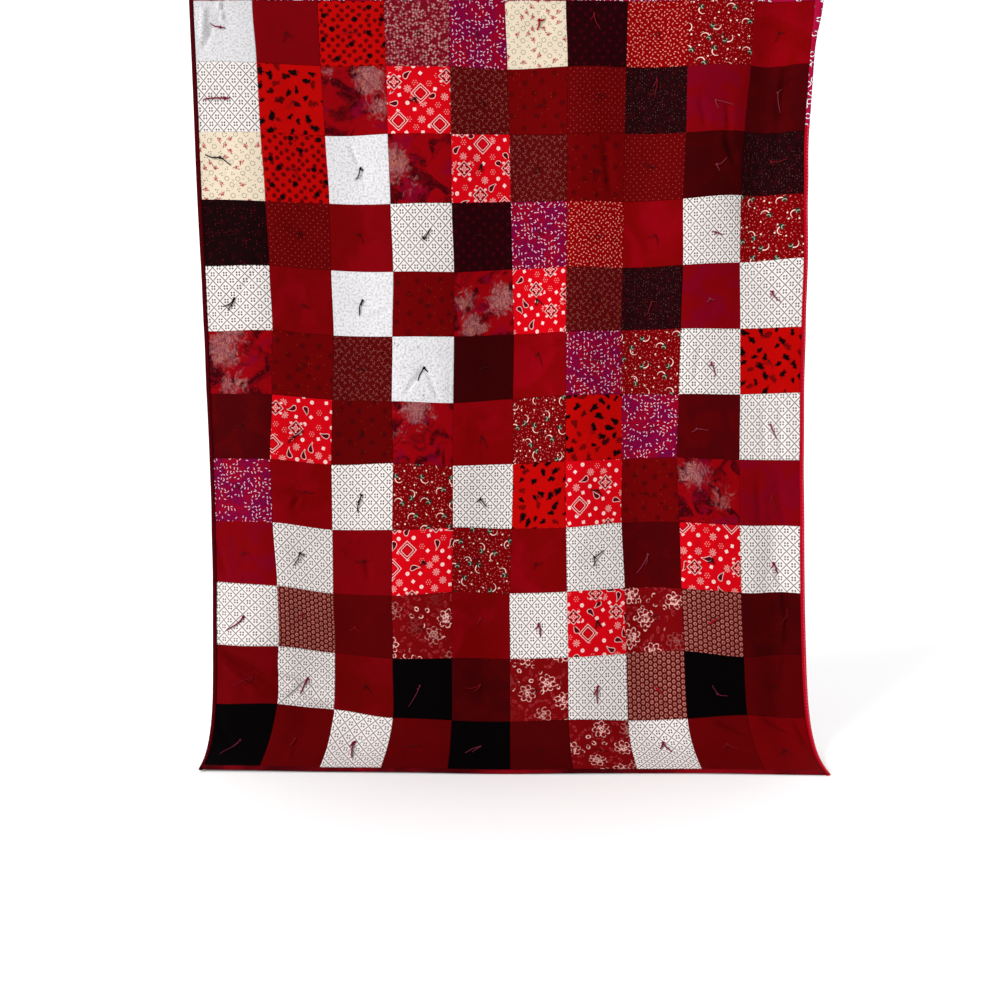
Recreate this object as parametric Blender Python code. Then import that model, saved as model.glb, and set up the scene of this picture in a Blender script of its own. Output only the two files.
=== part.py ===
"""A patchwork quilt hanging from its top edge, with its last row kicked out along the floor.

The quilt is one filled layer of cloth, ten patches across and twelve down, puffed between a
tie at the centre of every patch. Four binding strips fold over its edges.

Metres, +Z up. The front faces -Y. The origin is the centre of the top edge.
A place on the cloth is given as "across" and "down", both counted in patches from the top
left corner of the patchwork.
"""

import math
from collections import namedtuple

import bmesh
import bpy
from mathutils import Vector

COLUMNS = 10
ROWS = 12
PATCH_WIDTH = 0.143
PATCH_HEIGHT = 0.152
MILLIMETRE = 0.001

# Across the cloth: where the left seam allowance starts, and each column's width as it hangs.
# Values are in millimetres at these distances down the cloth, counted in patches.
WIDTH_LEVELS = (0.0, 3.0, 7.0, 10.0, 12.0)
Column = namedtuple("Column", "top upper middle lower hem")
LEFT_EDGE = Column(-714, -707, -688, -689, -676)
COLUMN_WIDTHS = (
    Column(141, 151, 133, 143, 122),
    Column(148, 146, 145, 136, 130),
    Column(148, 142, 144, 138, 138),
    Column(149, 144, 142, 142, 150),
    Column(132, 137, 142, 139, 139),
    Column(140, 130, 124, 139, 145),
    Column(137, 132, 131, 141, 138),
    Column(142, 139, 135, 136, 143),
    Column(147, 133, 143, 141, 148),
    Column(145, 144, 145, 139, 131),
)

# Down the cloth: the height of each row, and how far the seam under it sags (+) or lifts (-)
# at five places across, all in millimetres.
SAG_PLACES = (0.5, 2.5, 5.0, 7.5, 9.5)
Row = namedtuple("Row", "height left mid_left middle mid_right right")
ROW_SEAMS = (
    Row(143.0, -7, 2, 6, 2, -5),
    Row(151.0, -2, 1, 1, -2, -4),
    Row(153.5, -1, 8, 2, -3, -16),
    Row(152.5, -3, 9, 4, -2, -16),
    Row(151.0, -1, 9, 6, -7, -12),
    Row(151.0, -7, 9, 5, -4, -11),
    Row(151.5, -7, 7, 3, -5, -3),
    Row(152.0, -7, 10, 5, -10, 4),
    Row(153.0, -12, 13, 7, -12, 9),
    Row(151.0, -14, 7, 9, -5, 2),
    Row(150.0, -25, -5, 10, 7, 3),
    Row(152.0, -14, -6, 4, 1, 8),
)

# The side view: how far the cloth leans from the vertical, toward the front, at each distance
# down it. It hangs straight, then kicks out until the hem lies almost flat.
Lean = namedtuple("Lean", "down degrees")
LEANS = (
    Lean(0.00, 0.0),
    Lean(0.90, 0.5),
    Lean(1.35, 2.0),
    Lean(1.52, 7.0),
    Lean(1.64, 20.0),
    Lean(1.73, 48.0),
    Lean(1.80, 79.0),
    Lean(1.85, 86.0),
)
LEAN_STEP = 0.002

# Soft folds: a line from one place on the cloth to another, raised (+) or sunk (-) along it.
# Places, half widths and the length over which each end fades are in patches, and depths in
# millimetres. All of them fade toward the hem, and the cloth's slope is read over a short reach.
Fold = namedtuple("Fold", "across0 down0 across1 down1 depth half_width fade")
FOLDS = (
    Fold(0.10, 2.0, 0.00, 9.6, -8, 0.45, 2.0),
    Fold(0.90, 1.8, 0.85, 10.6, 11, 0.62, 2.4),
    Fold(2.25, 2.6, 2.10, 10.8, -11, 0.65, 2.4),
    Fold(3.55, 2.9, 3.45, 11.2, 12, 0.75, 2.6),
    Fold(5.00, 2.2, 4.85, 10.9, -12, 0.62, 2.4),
    Fold(6.20, 1.9, 6.05, 11.0, 13, 0.62, 2.2),
    Fold(7.15, 1.2, 7.25, 10.8, -11, 0.50, 1.8),
    Fold(8.30, 1.0, 8.35, 11.2, 12, 0.60, 1.6),
    Fold(9.35, 1.1, 9.28, 2.9, -21, 0.36, 1.9),
    Fold(9.62, 8.4, 9.60, 10.4, -17, 0.30, 1.9),
    Fold(10.1, 2.0, 10.1, 9.8, 9, 0.40, 2.0),
    Fold(0.60, 9.8, 2.00, 10.6, 9, 0.26, 0.8),
    Fold(0.55, 10.5, 1.60, 11.0, -8, 0.24, 0.7),
    Fold(8.60, 11.4, 9.60, 11.6, 6, 0.25, 0.6),
)
HEM_FADE_START = 10.9
HEM_FADE = 0.88
SLOPE_REACH = 0.04

# The filled layer: half its thickness where it is sewn flat, and the puff on each face.
SEAM_HALF_THICKNESS = 0.0016
FRONT_PUFF = 0.0034
BACK_PUFF = 0.0022
TIE_PULL = 0.95
TIE_RADIUS = 0.30
SEAM_PULL = 0.22
SEAM_RADIUS = 0.12
EDGE_FLAT = 0.28
CELLS_PER_PATCH = 4

# The binding: a strip folded over the edge, open toward the quilt.
QUILT_MARGIN = 0.0080
BINDING_GAP = 0.0005
BINDING_CLOTH = 0.0010
BINDING_DEPTH = QUILT_MARGIN + BINDING_GAP + BINDING_CLOTH
BINDING_INSIDE = SEAM_HALF_THICKNESS + BINDING_GAP
BINDING_OUTSIDE = BINDING_INSIDE + BINDING_CLOTH
MARGIN_ACROSS = QUILT_MARGIN / PATCH_WIDTH
MARGIN_DOWN = QUILT_MARGIN / PATCH_HEIGHT
BUTT_GAP = 0.0004

# Colour as linear RGB, and roughness.
Finish = namedtuple("Finish", "red green blue roughness")
QUILT_FINISH = Finish(0.22, 0.004, 0.008, 0.86)
BINDING_FINISHES = {
    "binding_left": Finish(0.030, 0.001, 0.003, 0.85),
    "binding_right": Finish(0.52, 0.010, 0.035, 0.80),
    "binding_top": Finish(0.42, 0.010, 0.060, 0.80),
    "binding_bottom": Finish(0.20, 0.003, 0.008, 0.82),
}


def clear_objects():
    """Remove every object that the file starts with."""
    for thing in list(bpy.data.objects):
        bpy.data.objects.remove(thing, do_unlink=True)


def smooth_step(value):
    """Ease from 0 to 1 while value goes from 0 to 1."""
    value = min(max(value, 0.0), 1.0)
    return value * value * (3.0 - 2.0 * value)


def curve_at(places, values, place):
    """Read a smooth curve that goes through the given values, straight past its two ends."""
    last = len(places) - 1

    def slope(index):
        low = max(index - 1, 0)
        high = min(index + 1, last)
        return (values[high] - values[low]) / (places[high] - places[low])

    if place <= places[0]:
        return values[0] + slope(0) * (place - places[0])
    if place >= places[last]:
        return values[last] + slope(last) * (place - places[last])
    index = max(i for i in range(last) if places[i] <= place)
    span = places[index + 1] - places[index]
    t = (place - places[index]) / span
    rise = values[index + 1] - values[index]
    start = slope(index) * span
    finish = slope(index + 1) * span
    bend = start + finish - 2.0 * rise
    return values[index] + t * (start + t * (3.0 * rise - 2.0 * start - finish + t * bend))


def seam_places(down):
    """X of the eleven column seams at one distance down the cloth."""
    place = curve_at(WIDTH_LEVELS, LEFT_EDGE, down) * MILLIMETRE
    places = [place]
    for widths in COLUMN_WIDTHS:
        place += curve_at(WIDTH_LEVELS, widths, down) * MILLIMETRE
        places.append(place)
    return places


def place_across(across, down):
    """X of a place on the cloth."""
    places = seam_places(down)
    column = min(max(int(math.floor(across)), 0), COLUMNS - 1)
    return places[column] + (across - column) * (places[column + 1] - places[column])


def row_lengths():
    """The even distance from the top edge to each row seam, the top seam first."""
    lengths = [BINDING_DEPTH]
    for row in ROW_SEAMS:
        lengths.append(lengths[-1] + row.height * MILLIMETRE)
    return lengths


ROW_PLACES = tuple(range(ROWS + 1))
ROW_LENGTHS = tuple(row_lengths())


def length_down(across, down):
    """How far a place on the cloth is from the top edge, measured along the cloth."""
    even = curve_at(ROW_PLACES, ROW_LENGTHS, down)
    sags = [0.0] + [curve_at(SAG_PLACES, row[1:], across) for row in ROW_SEAMS]
    return even + curve_at(ROW_PLACES, sags, down) * MILLIMETRE


def side_view():
    """Walk down the cloth: its forward place, drop and lean at every step."""
    places = [lean.down for lean in LEANS]
    angles = [lean.degrees for lean in LEANS]
    forward = 0.0
    drop = 0.0
    walk = []
    for step in range(int(LEANS[-1].down / LEAN_STEP) + 2):
        lean = math.radians(max(curve_at(places, angles, step * LEAN_STEP), 0.0))
        walk.append((forward, drop, lean))
        forward += math.sin(lean) * LEAN_STEP
        drop += math.cos(lean) * LEAN_STEP
    return walk


SIDE_VIEW = side_view()


def side_place(length):
    """Forward place, drop and lean at one distance along the cloth."""
    step = min(max(length / LEAN_STEP, 0.0), len(SIDE_VIEW) - 2.0)
    index = int(step)
    share = step - index
    before, after = SIDE_VIEW[index], SIDE_VIEW[index + 1]
    forward, drop, lean = (a + (b - a) * share for a, b in zip(before, after))
    return forward, drop + min(length, 0.0), lean


def fold_height(across, down):
    """How far the folds stand out from the plain hanging cloth."""
    height = 0.0
    for fold in FOLDS:
        run = Vector((fold.across1 - fold.across0, fold.down1 - fold.down0))
        place = Vector((across - fold.across0, down - fold.down0))
        along = place.dot(run) / run.length
        aside = (place - run.normalized() * along).length
        ends = smooth_step((along + fold.fade) / fold.fade)
        ends *= smooth_step((run.length + fold.fade - along) / fold.fade)
        height += fold.depth * ends * math.exp(-((aside / fold.half_width) ** 2))
    hem = 1.0 - HEM_FADE * smooth_step((down - HEM_FADE_START) / (ROWS - HEM_FADE_START))
    return height * hem * MILLIMETRE


def middle_point(across, down):
    """A place on the middle of the layer."""
    forward, drop, lean = side_place(length_down(across, down))
    raised = fold_height(across, down)
    x = place_across(across, down)
    y = -forward - raised * math.cos(lean)
    z = -drop + raised * math.sin(lean)
    return Vector((x, y, z))


def cloth_place(across, down):
    """A place on the middle of the layer, and the direction that its front faces."""
    right = middle_point(across + SLOPE_REACH, down) - middle_point(across - SLOPE_REACH, down)
    below = middle_point(across, down + SLOPE_REACH) - middle_point(across, down - SLOPE_REACH)
    return middle_point(across, down), below.cross(right).normalized()


def puff(across, down):
    """How full the filling is at a place, from 0 where it is sewn flat to 1."""
    edge = min(across, COLUMNS - across, down, ROWS - down)
    if edge <= 0.0:
        return 0.0
    tie = math.hypot(across % 1.0 - 0.5, down % 1.0 - 0.5)
    seam = min(abs(across - round(across)), abs(down - round(down)))
    full = 1.0 - TIE_PULL * math.exp(-((tie / TIE_RADIUS) ** 2))
    full -= SEAM_PULL * math.exp(-((seam / SEAM_RADIUS) ** 2))
    return max(full, 0.0) * smooth_step(edge / EDGE_FLAT)


def stations(count, margin):
    """Grid lines in patches: the margin's edge, every cell of every patch, and the far margin."""
    lines = [-margin]
    lines += [step / CELLS_PER_PATCH for step in range(count * CELLS_PER_PATCH + 1)]
    lines.append(count + margin)
    return lines


def make_object(name, bm, finish):
    """Turn a finished bmesh into a named object with its own material."""
    bmesh.ops.recalc_face_normals(bm, faces=bm.faces)
    mesh = bpy.data.meshes.new(name)
    bm.to_mesh(mesh)
    bm.free()
    mesh.shade_smooth()
    material = bpy.data.materials.new(f"{name}_cloth")
    material.use_nodes = True
    shader = material.node_tree.nodes["Principled BSDF"]
    shader.inputs["Base Color"].default_value = (finish.red, finish.green, finish.blue, 1.0)
    shader.inputs["Roughness"].default_value = finish.roughness
    shader.inputs["Metallic"].default_value = 0.0
    mesh.materials.append(material)
    thing = bpy.data.objects.new(name, mesh)
    bpy.context.scene.collection.objects.link(thing)
    return thing


def make_quilt():
    """The filled layer: a grid over the whole cloth, drawn out into a front and a back face."""
    across_lines = stations(COLUMNS, MARGIN_ACROSS)
    down_lines = stations(ROWS, MARGIN_DOWN)
    bm = bmesh.new()
    bmesh.ops.create_grid(
        bm,
        x_segments=len(across_lines) - 1,
        y_segments=len(down_lines) - 1,
        size=0.5,
    )
    across_index = bm.verts.layers.int.new("across")
    down_index = bm.verts.layers.int.new("down")
    for vert in bm.verts:
        vert[across_index] = round((vert.co.x + 0.5) * (len(across_lines) - 1))
        vert[down_index] = round((0.5 - vert.co.y) * (len(down_lines) - 1))
    drawn = bmesh.ops.extrude_face_region(bm, geom=bm.faces[:])
    front = {item for item in drawn["geom"] if isinstance(item, bmesh.types.BMVert)}
    for vert in bm.verts:
        across = across_lines[vert[across_index]]
        down = down_lines[vert[down_index]]
        point, facing = cloth_place(across, down)
        if vert in front:
            vert.co = point + facing * (SEAM_HALF_THICKNESS + FRONT_PUFF * puff(across, down))
        else:
            vert.co = point - facing * (SEAM_HALF_THICKNESS + BACK_PUFF * puff(across, down))
    return make_object("quilt", bm, QUILT_FINISH)


def binding_section():
    """The strip's section as pairs: distance out from the patchwork, and height off its middle."""
    inside_depth = QUILT_MARGIN + BINDING_GAP
    return (
        (0.0, BINDING_OUTSIDE),
        (BINDING_DEPTH, BINDING_OUTSIDE - BINDING_CLOTH / 2.0),
        (BINDING_DEPTH, BINDING_CLOTH / 2.0 - BINDING_OUTSIDE),
        (0.0, -BINDING_OUTSIDE),
        (0.0, -BINDING_INSIDE),
        (inside_depth, -BINDING_INSIDE),
        (inside_depth, BINDING_INSIDE),
        (0.0, BINDING_INSIDE),
    )


def make_binding(name, lines, cloth_at):
    """Sweep the strip's section along one edge by extruding its end face from line to line."""
    section = binding_section()
    bm = bmesh.new()
    bmesh.ops.create_circle(bm, cap_ends=True, radius=1.0, segments=len(section))
    corner = bm.verts.layers.int.new("corner")
    for index, vert in enumerate(bm.verts):
        vert[corner] = index
    end_verts = bm.verts[:]
    bm.faces.ensure_lookup_table()
    end_face = bm.faces[0]
    for number, line in enumerate(lines):
        if number:
            drawn = bmesh.ops.extrude_face_region(bm, geom=[end_face])["geom"]
            if number > 1:
                bmesh.ops.delete(bm, geom=[end_face], context="FACES_ONLY")
            end_verts = [item for item in drawn if isinstance(item, bmesh.types.BMVert)]
            end_face = next(item for item in drawn if isinstance(item, bmesh.types.BMFace))
        for vert in end_verts:
            outward, height = section[vert[corner]]
            point, facing = cloth_at(line, outward)
            vert.co = point + facing * height
    return make_object(name, bm, BINDING_FINISHES[name])


def side_lines():
    """Stations down a side strip, which also covers the ends of the strips above and below."""
    lines = stations(ROWS, MARGIN_DOWN)
    cover = (BINDING_GAP + BINDING_CLOTH) / PATCH_HEIGHT
    return [lines[0] - cover] + lines + [lines[-1] + cover]


def end_lines():
    """Stations along the top or the bottom strip, which stops short of the side strips."""
    lines = stations(COLUMNS, MARGIN_ACROSS)[1:-1]
    lines[0] += BUTT_GAP / PATCH_WIDTH
    lines[-1] -= BUTT_GAP / PATCH_WIDTH
    return lines


def left_edge(down, outward):
    """A place on the left margin."""
    return cloth_place(-outward / PATCH_WIDTH, down)


def right_edge(down, outward):
    """A place on the right margin."""
    return cloth_place(COLUMNS + outward / PATCH_WIDTH, down)


def top_edge(across, outward):
    """A place on the top margin."""
    return cloth_place(across, -outward / PATCH_HEIGHT)


def bottom_edge(across, outward):
    """A place on the bottom margin."""
    return cloth_place(across, ROWS + outward / PATCH_HEIGHT)


def main():
    """Build the quilt and its four binding strips."""
    clear_objects()
    make_quilt()
    make_binding("binding_left", side_lines(), left_edge)
    make_binding("binding_right", side_lines(), right_edge)
    make_binding("binding_top", end_lines(), top_edge)
    make_binding("binding_bottom", end_lines(), bottom_edge)


main()
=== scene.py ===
"""Dresses the hanging patchwork quilt: its cotton patches, backing, binding strips and thread ties.

Everything is in metres, in the row frame. The front of the quilt faces -Y, and the origin is the
centre of its top edge. A place on the cloth is given as "across" and "down", both counted in
patches from the top left corner of the patchwork.
"""

import logging
import math
import random
from collections import namedtuple
from dataclasses import dataclass
from enum import Enum
from typing import Any, Callable, Optional, Sequence, Union

import bmesh
import bpy
import numpy as np
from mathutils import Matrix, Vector, noise


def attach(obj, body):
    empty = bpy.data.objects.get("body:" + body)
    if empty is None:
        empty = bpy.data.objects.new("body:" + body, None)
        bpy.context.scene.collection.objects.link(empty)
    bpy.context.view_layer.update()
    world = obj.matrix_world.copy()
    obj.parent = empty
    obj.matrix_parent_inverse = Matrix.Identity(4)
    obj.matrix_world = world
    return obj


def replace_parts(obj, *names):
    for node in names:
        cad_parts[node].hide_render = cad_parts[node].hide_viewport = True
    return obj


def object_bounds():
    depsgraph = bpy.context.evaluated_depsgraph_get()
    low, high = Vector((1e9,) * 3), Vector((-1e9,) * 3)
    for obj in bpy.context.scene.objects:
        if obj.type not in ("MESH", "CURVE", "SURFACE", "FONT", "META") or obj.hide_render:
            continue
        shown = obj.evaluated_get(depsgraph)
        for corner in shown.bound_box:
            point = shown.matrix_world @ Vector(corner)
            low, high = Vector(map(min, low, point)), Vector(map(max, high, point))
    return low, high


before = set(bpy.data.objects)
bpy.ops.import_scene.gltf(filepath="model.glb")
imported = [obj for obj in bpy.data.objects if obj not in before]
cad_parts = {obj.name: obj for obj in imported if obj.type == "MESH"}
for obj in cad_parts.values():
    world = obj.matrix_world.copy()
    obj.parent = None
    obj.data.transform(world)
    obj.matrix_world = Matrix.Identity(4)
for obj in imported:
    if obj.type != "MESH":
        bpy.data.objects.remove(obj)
CAD_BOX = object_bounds()
LOG = logging.getLogger("quilt")

MM = 0.001
COLUMNS = 10
ROWS = 12
PATCH_WIDTH = 0.143
PATCH_HEIGHT = 0.152
BINDING_DEPTH = 0.0095
BACK_SEAM = 0.0016
BACK_PUFF = 0.0026


def linear(hex_code: str) -> tuple[float, float, float, float]:
    """Turn an sRGB hex colour into linear light.

    Args:
        hex_code: Six hex digits.

    Returns:
        Red, green, blue and an alpha of one.
    """
    parts = [int(hex_code[i : i + 2], 16) / 255.0 for i in (0, 2, 4)]
    light = [p / 12.92 if p <= 0.04045 else ((p + 0.055) / 1.055) ** 2.4 for p in parts]
    return (light[0], light[1], light[2], 1.0)


# The cloth as it hangs. Widths, heights and sags of the seams are millimetres of cloth. A column's
# widths are given at five levels, counted in rows from the top.

WIDTH_LEVELS = (0.0, 3.0, 7.0, 10.0, 12.0)
Column = namedtuple("Column", "top upper middle lower hem")
LEFT_EDGE = Column(-714, -707, -688, -689, -676)
COLUMN_WIDTHS = (
    Column(141, 151, 133, 143, 122),
    Column(148, 146, 145, 136, 130),
    Column(148, 142, 144, 138, 138),
    Column(149, 144, 142, 142, 150),
    Column(132, 137, 142, 139, 139),
    Column(140, 130, 124, 139, 145),
    Column(137, 132, 131, 141, 138),
    Column(142, 139, 135, 136, 143),
    Column(147, 133, 143, 141, 148),
    Column(145, 144, 145, 139, 131),
)
SAG_PLACES = (0.5, 2.5, 5.0, 7.5, 9.5)
Row = namedtuple("Row", "height left mid_left middle mid_right right")
ROW_SEAMS = (
    Row(143.0, -7, 2, 6, 2, -5),
    Row(151.0, -2, 1, 1, -2, -4),
    Row(153.5, -1, 8, 2, -3, -16),
    Row(152.5, -3, 9, 4, -2, -16),
    Row(151.0, -1, 9, 6, -7, -12),
    Row(151.0, -7, 9, 5, -4, -11),
    Row(151.5, -7, 7, 3, -5, -3),
    Row(152.0, -7, 10, 5, -10, 4),
    Row(153.0, -12, 13, 7, -12, 9),
    Row(151.0, -14, 7, 9, -5, 2),
    Row(150.0, -25, -5, 10, 7, 3),
    Row(152.0, -14, -6, 4, 1, 8),
)
Lean = namedtuple("Lean", "down degrees")
# How far the cloth leans forward, against metres of cloth from the top.
LEANS = (
    Lean(0.00, 0.0),
    Lean(0.90, 0.5),
    Lean(1.35, 2.0),
    Lean(1.52, 7.0),
    Lean(1.64, 20.0),
    Lean(1.73, 48.0),
    Lean(1.80, 79.0),
    Lean(1.85, 86.0),
)
LEAN_STEP = 0.002
Fold = namedtuple("Fold", "across0 down0 across1 down1 depth half_width fade")
# Long soft folds, in patches, with their depth in millimetres toward the front (+) or the back (-).
FOLDS = (
    Fold(0.10, 2.0, 0.00, 9.6, -8, 0.45, 2.0),
    Fold(0.90, 1.8, 0.85, 10.6, 11, 0.62, 2.4),
    Fold(2.25, 2.6, 2.10, 10.8, -11, 0.65, 2.4),
    Fold(3.55, 2.9, 3.45, 11.2, 12, 0.75, 2.6),
    Fold(5.00, 2.2, 4.85, 10.9, -12, 0.62, 2.4),
    Fold(6.20, 1.9, 6.05, 11.0, 13, 0.62, 2.2),
    Fold(7.15, 1.2, 7.25, 10.8, -11, 0.50, 1.8),
    Fold(8.30, 1.0, 8.35, 11.2, 12, 0.60, 1.6),
    Fold(9.35, 1.1, 9.28, 2.9, -21, 0.36, 1.9),
    Fold(9.62, 8.4, 9.60, 10.4, -17, 0.30, 1.9),
    Fold(10.1, 2.0, 10.1, 9.8, 9, 0.40, 2.0),
    Fold(0.60, 9.8, 2.00, 10.6, 9, 0.26, 0.8),
    Fold(0.55, 10.5, 1.60, 11.0, -8, 0.24, 0.7),
    Fold(8.60, 11.4, 9.60, 11.6, 6, 0.25, 0.6),
)
# Where corners of the patches lie off the even grid, in millimetres of cloth: for each row of
# corners, the column: (right, below).
SHIFTS = {
    0: {1: (-6, 0), 2: (-4, 0), 5: (-5, 0), 6: (-5, 0), 10: (-5, 0)},
    1: {1: (-2, 4), 2: (-5, 3), 5: (-2, 3), 6: (0, 2), 8: (-2, 6), 9: (3, 3), 10: (-6, 4)},
    2: {
        1: (-2, 5), 2: (-4, 6), 3: (0, 4), 4: (0, 5), 5: (0, 1),
        6: (0, 9), 7: (0, 3), 8: (0, 7), 10: (-6, 3),
    },
    3: {1: (2, 4), 3: (3, 3), 4: (0, 4), 6: (0, 5), 7: (0, 4), 8: (-2, 5), 10: (0, 6)},
    4: {
        0: (0, 3), 1: (7, -1), 2: (1, 0), 3: (7, 4), 4: (4, 7),
        5: (2, 1), 7: (1, 2), 8: (2, 3), 9: (1, 3), 10: (4, 0),
    },
    5: {
        0: (-2, 1), 1: (12, -5), 2: (5, 0), 3: (3, 2), 4: (3, 3),
        5: (4, -1), 8: (1, 2), 9: (3, 4), 10: (1, 2),
    },
    6: {
        0: (-5, 4), 1: (9, -3), 3: (0, 1), 4: (1, 7), 5: (1, 0),
        6: (1, -5), 7: (3, -4), 9: (3, 4), 10: (-2, 3),
    },
    7: {
        0: (-5, 3), 1: (2, -2), 2: (-3, 4), 3: (2, -3), 4: (0, 5),
        5: (1, 4), 7: (3, -1), 8: (-4, -4), 9: (1, 0), 10: (-2, 0),
    },
    8: {0: (-3, 0), 1: (3, -6), 2: (-3, 4), 4: (1, -4), 5: (0, 4), 6: (0, 6), 7: (-2, 3), 10: (0, -5)},
    9: {
        1: (8, -6), 2: (-3, 2), 4: (0, -7), 5: (-2, 4), 6: (0, 5),
        7: (0, 8), 8: (-1, 6), 9: (0, 5), 10: (0, -5),
    },
    10: {1: (10, -10), 2: (3, -2), 3: (6, 4), 4: (3, 2), 5: (3, 7), 6: (1, 6), 7: (-1, 6), 9: (0, 10)},
    11: {1: (11, -10), 2: (11, -10), 3: (16, 5), 4: (7, 4), 5: (6, 0), 9: (-3, -7)},
    12: {1: (3, 0), 2: (9, 0), 3: (8, 0), 4: (8, 0), 5: (8, 0), 6: (4, 0), 7: (8, 0), 8: (9, 0), 9: (4, 0)},
}
HEM_FADE_START = 10.9
HEM_FADE = 0.88
SLOPE_REACH = 0.04


def smooth_step(value: Any) -> Any:
    """Ease from 0 to 1 while value goes from 0 to 1."""
    value = np.clip(value, 0.0, 1.0)
    return value * value * (3.0 - 2.0 * value)


def curve_at(places: Sequence[float], values: Any, at: np.ndarray) -> np.ndarray:
    """Read smooth curves that go through the given values, straight past their two ends.

    Args:
        places: Where the values stand.
        values: One value a place, or one row of values a place.
        at: The places to read.

    Returns:
        One value for each place in at.
    """
    steps = np.asarray(places, float)
    table = np.asarray(values, float)
    if table.ndim == 1:
        table = np.repeat(table[:, None], at.size, axis=1)
    last = len(steps) - 1
    low = np.maximum(np.arange(last + 1) - 1, 0)
    high = np.minimum(np.arange(last + 1) + 1, last)
    slopes = (table[high] - table[low]) / (steps[high] - steps[low])[:, None]
    index = np.clip(np.searchsorted(steps, at, side="right") - 1, 0, last - 1)
    each = np.arange(at.size)
    span = steps[index + 1] - steps[index]
    t = (at - steps[index]) / span
    here, there = table[index, each], table[index + 1, each]
    start, finish = slopes[index, each] * span, slopes[index + 1, each] * span
    bend = start + finish - 2.0 * (there - here)
    inner = here + t * (start + t * (3.0 * (there - here) - 2.0 * start - finish + t * bend))
    before = table[0] + slopes[0] * (at - steps[0])
    after = table[last] + slopes[last] * (at - steps[last])
    return np.where(at < steps[0], before, np.where(at > steps[last], after, inner))


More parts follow.
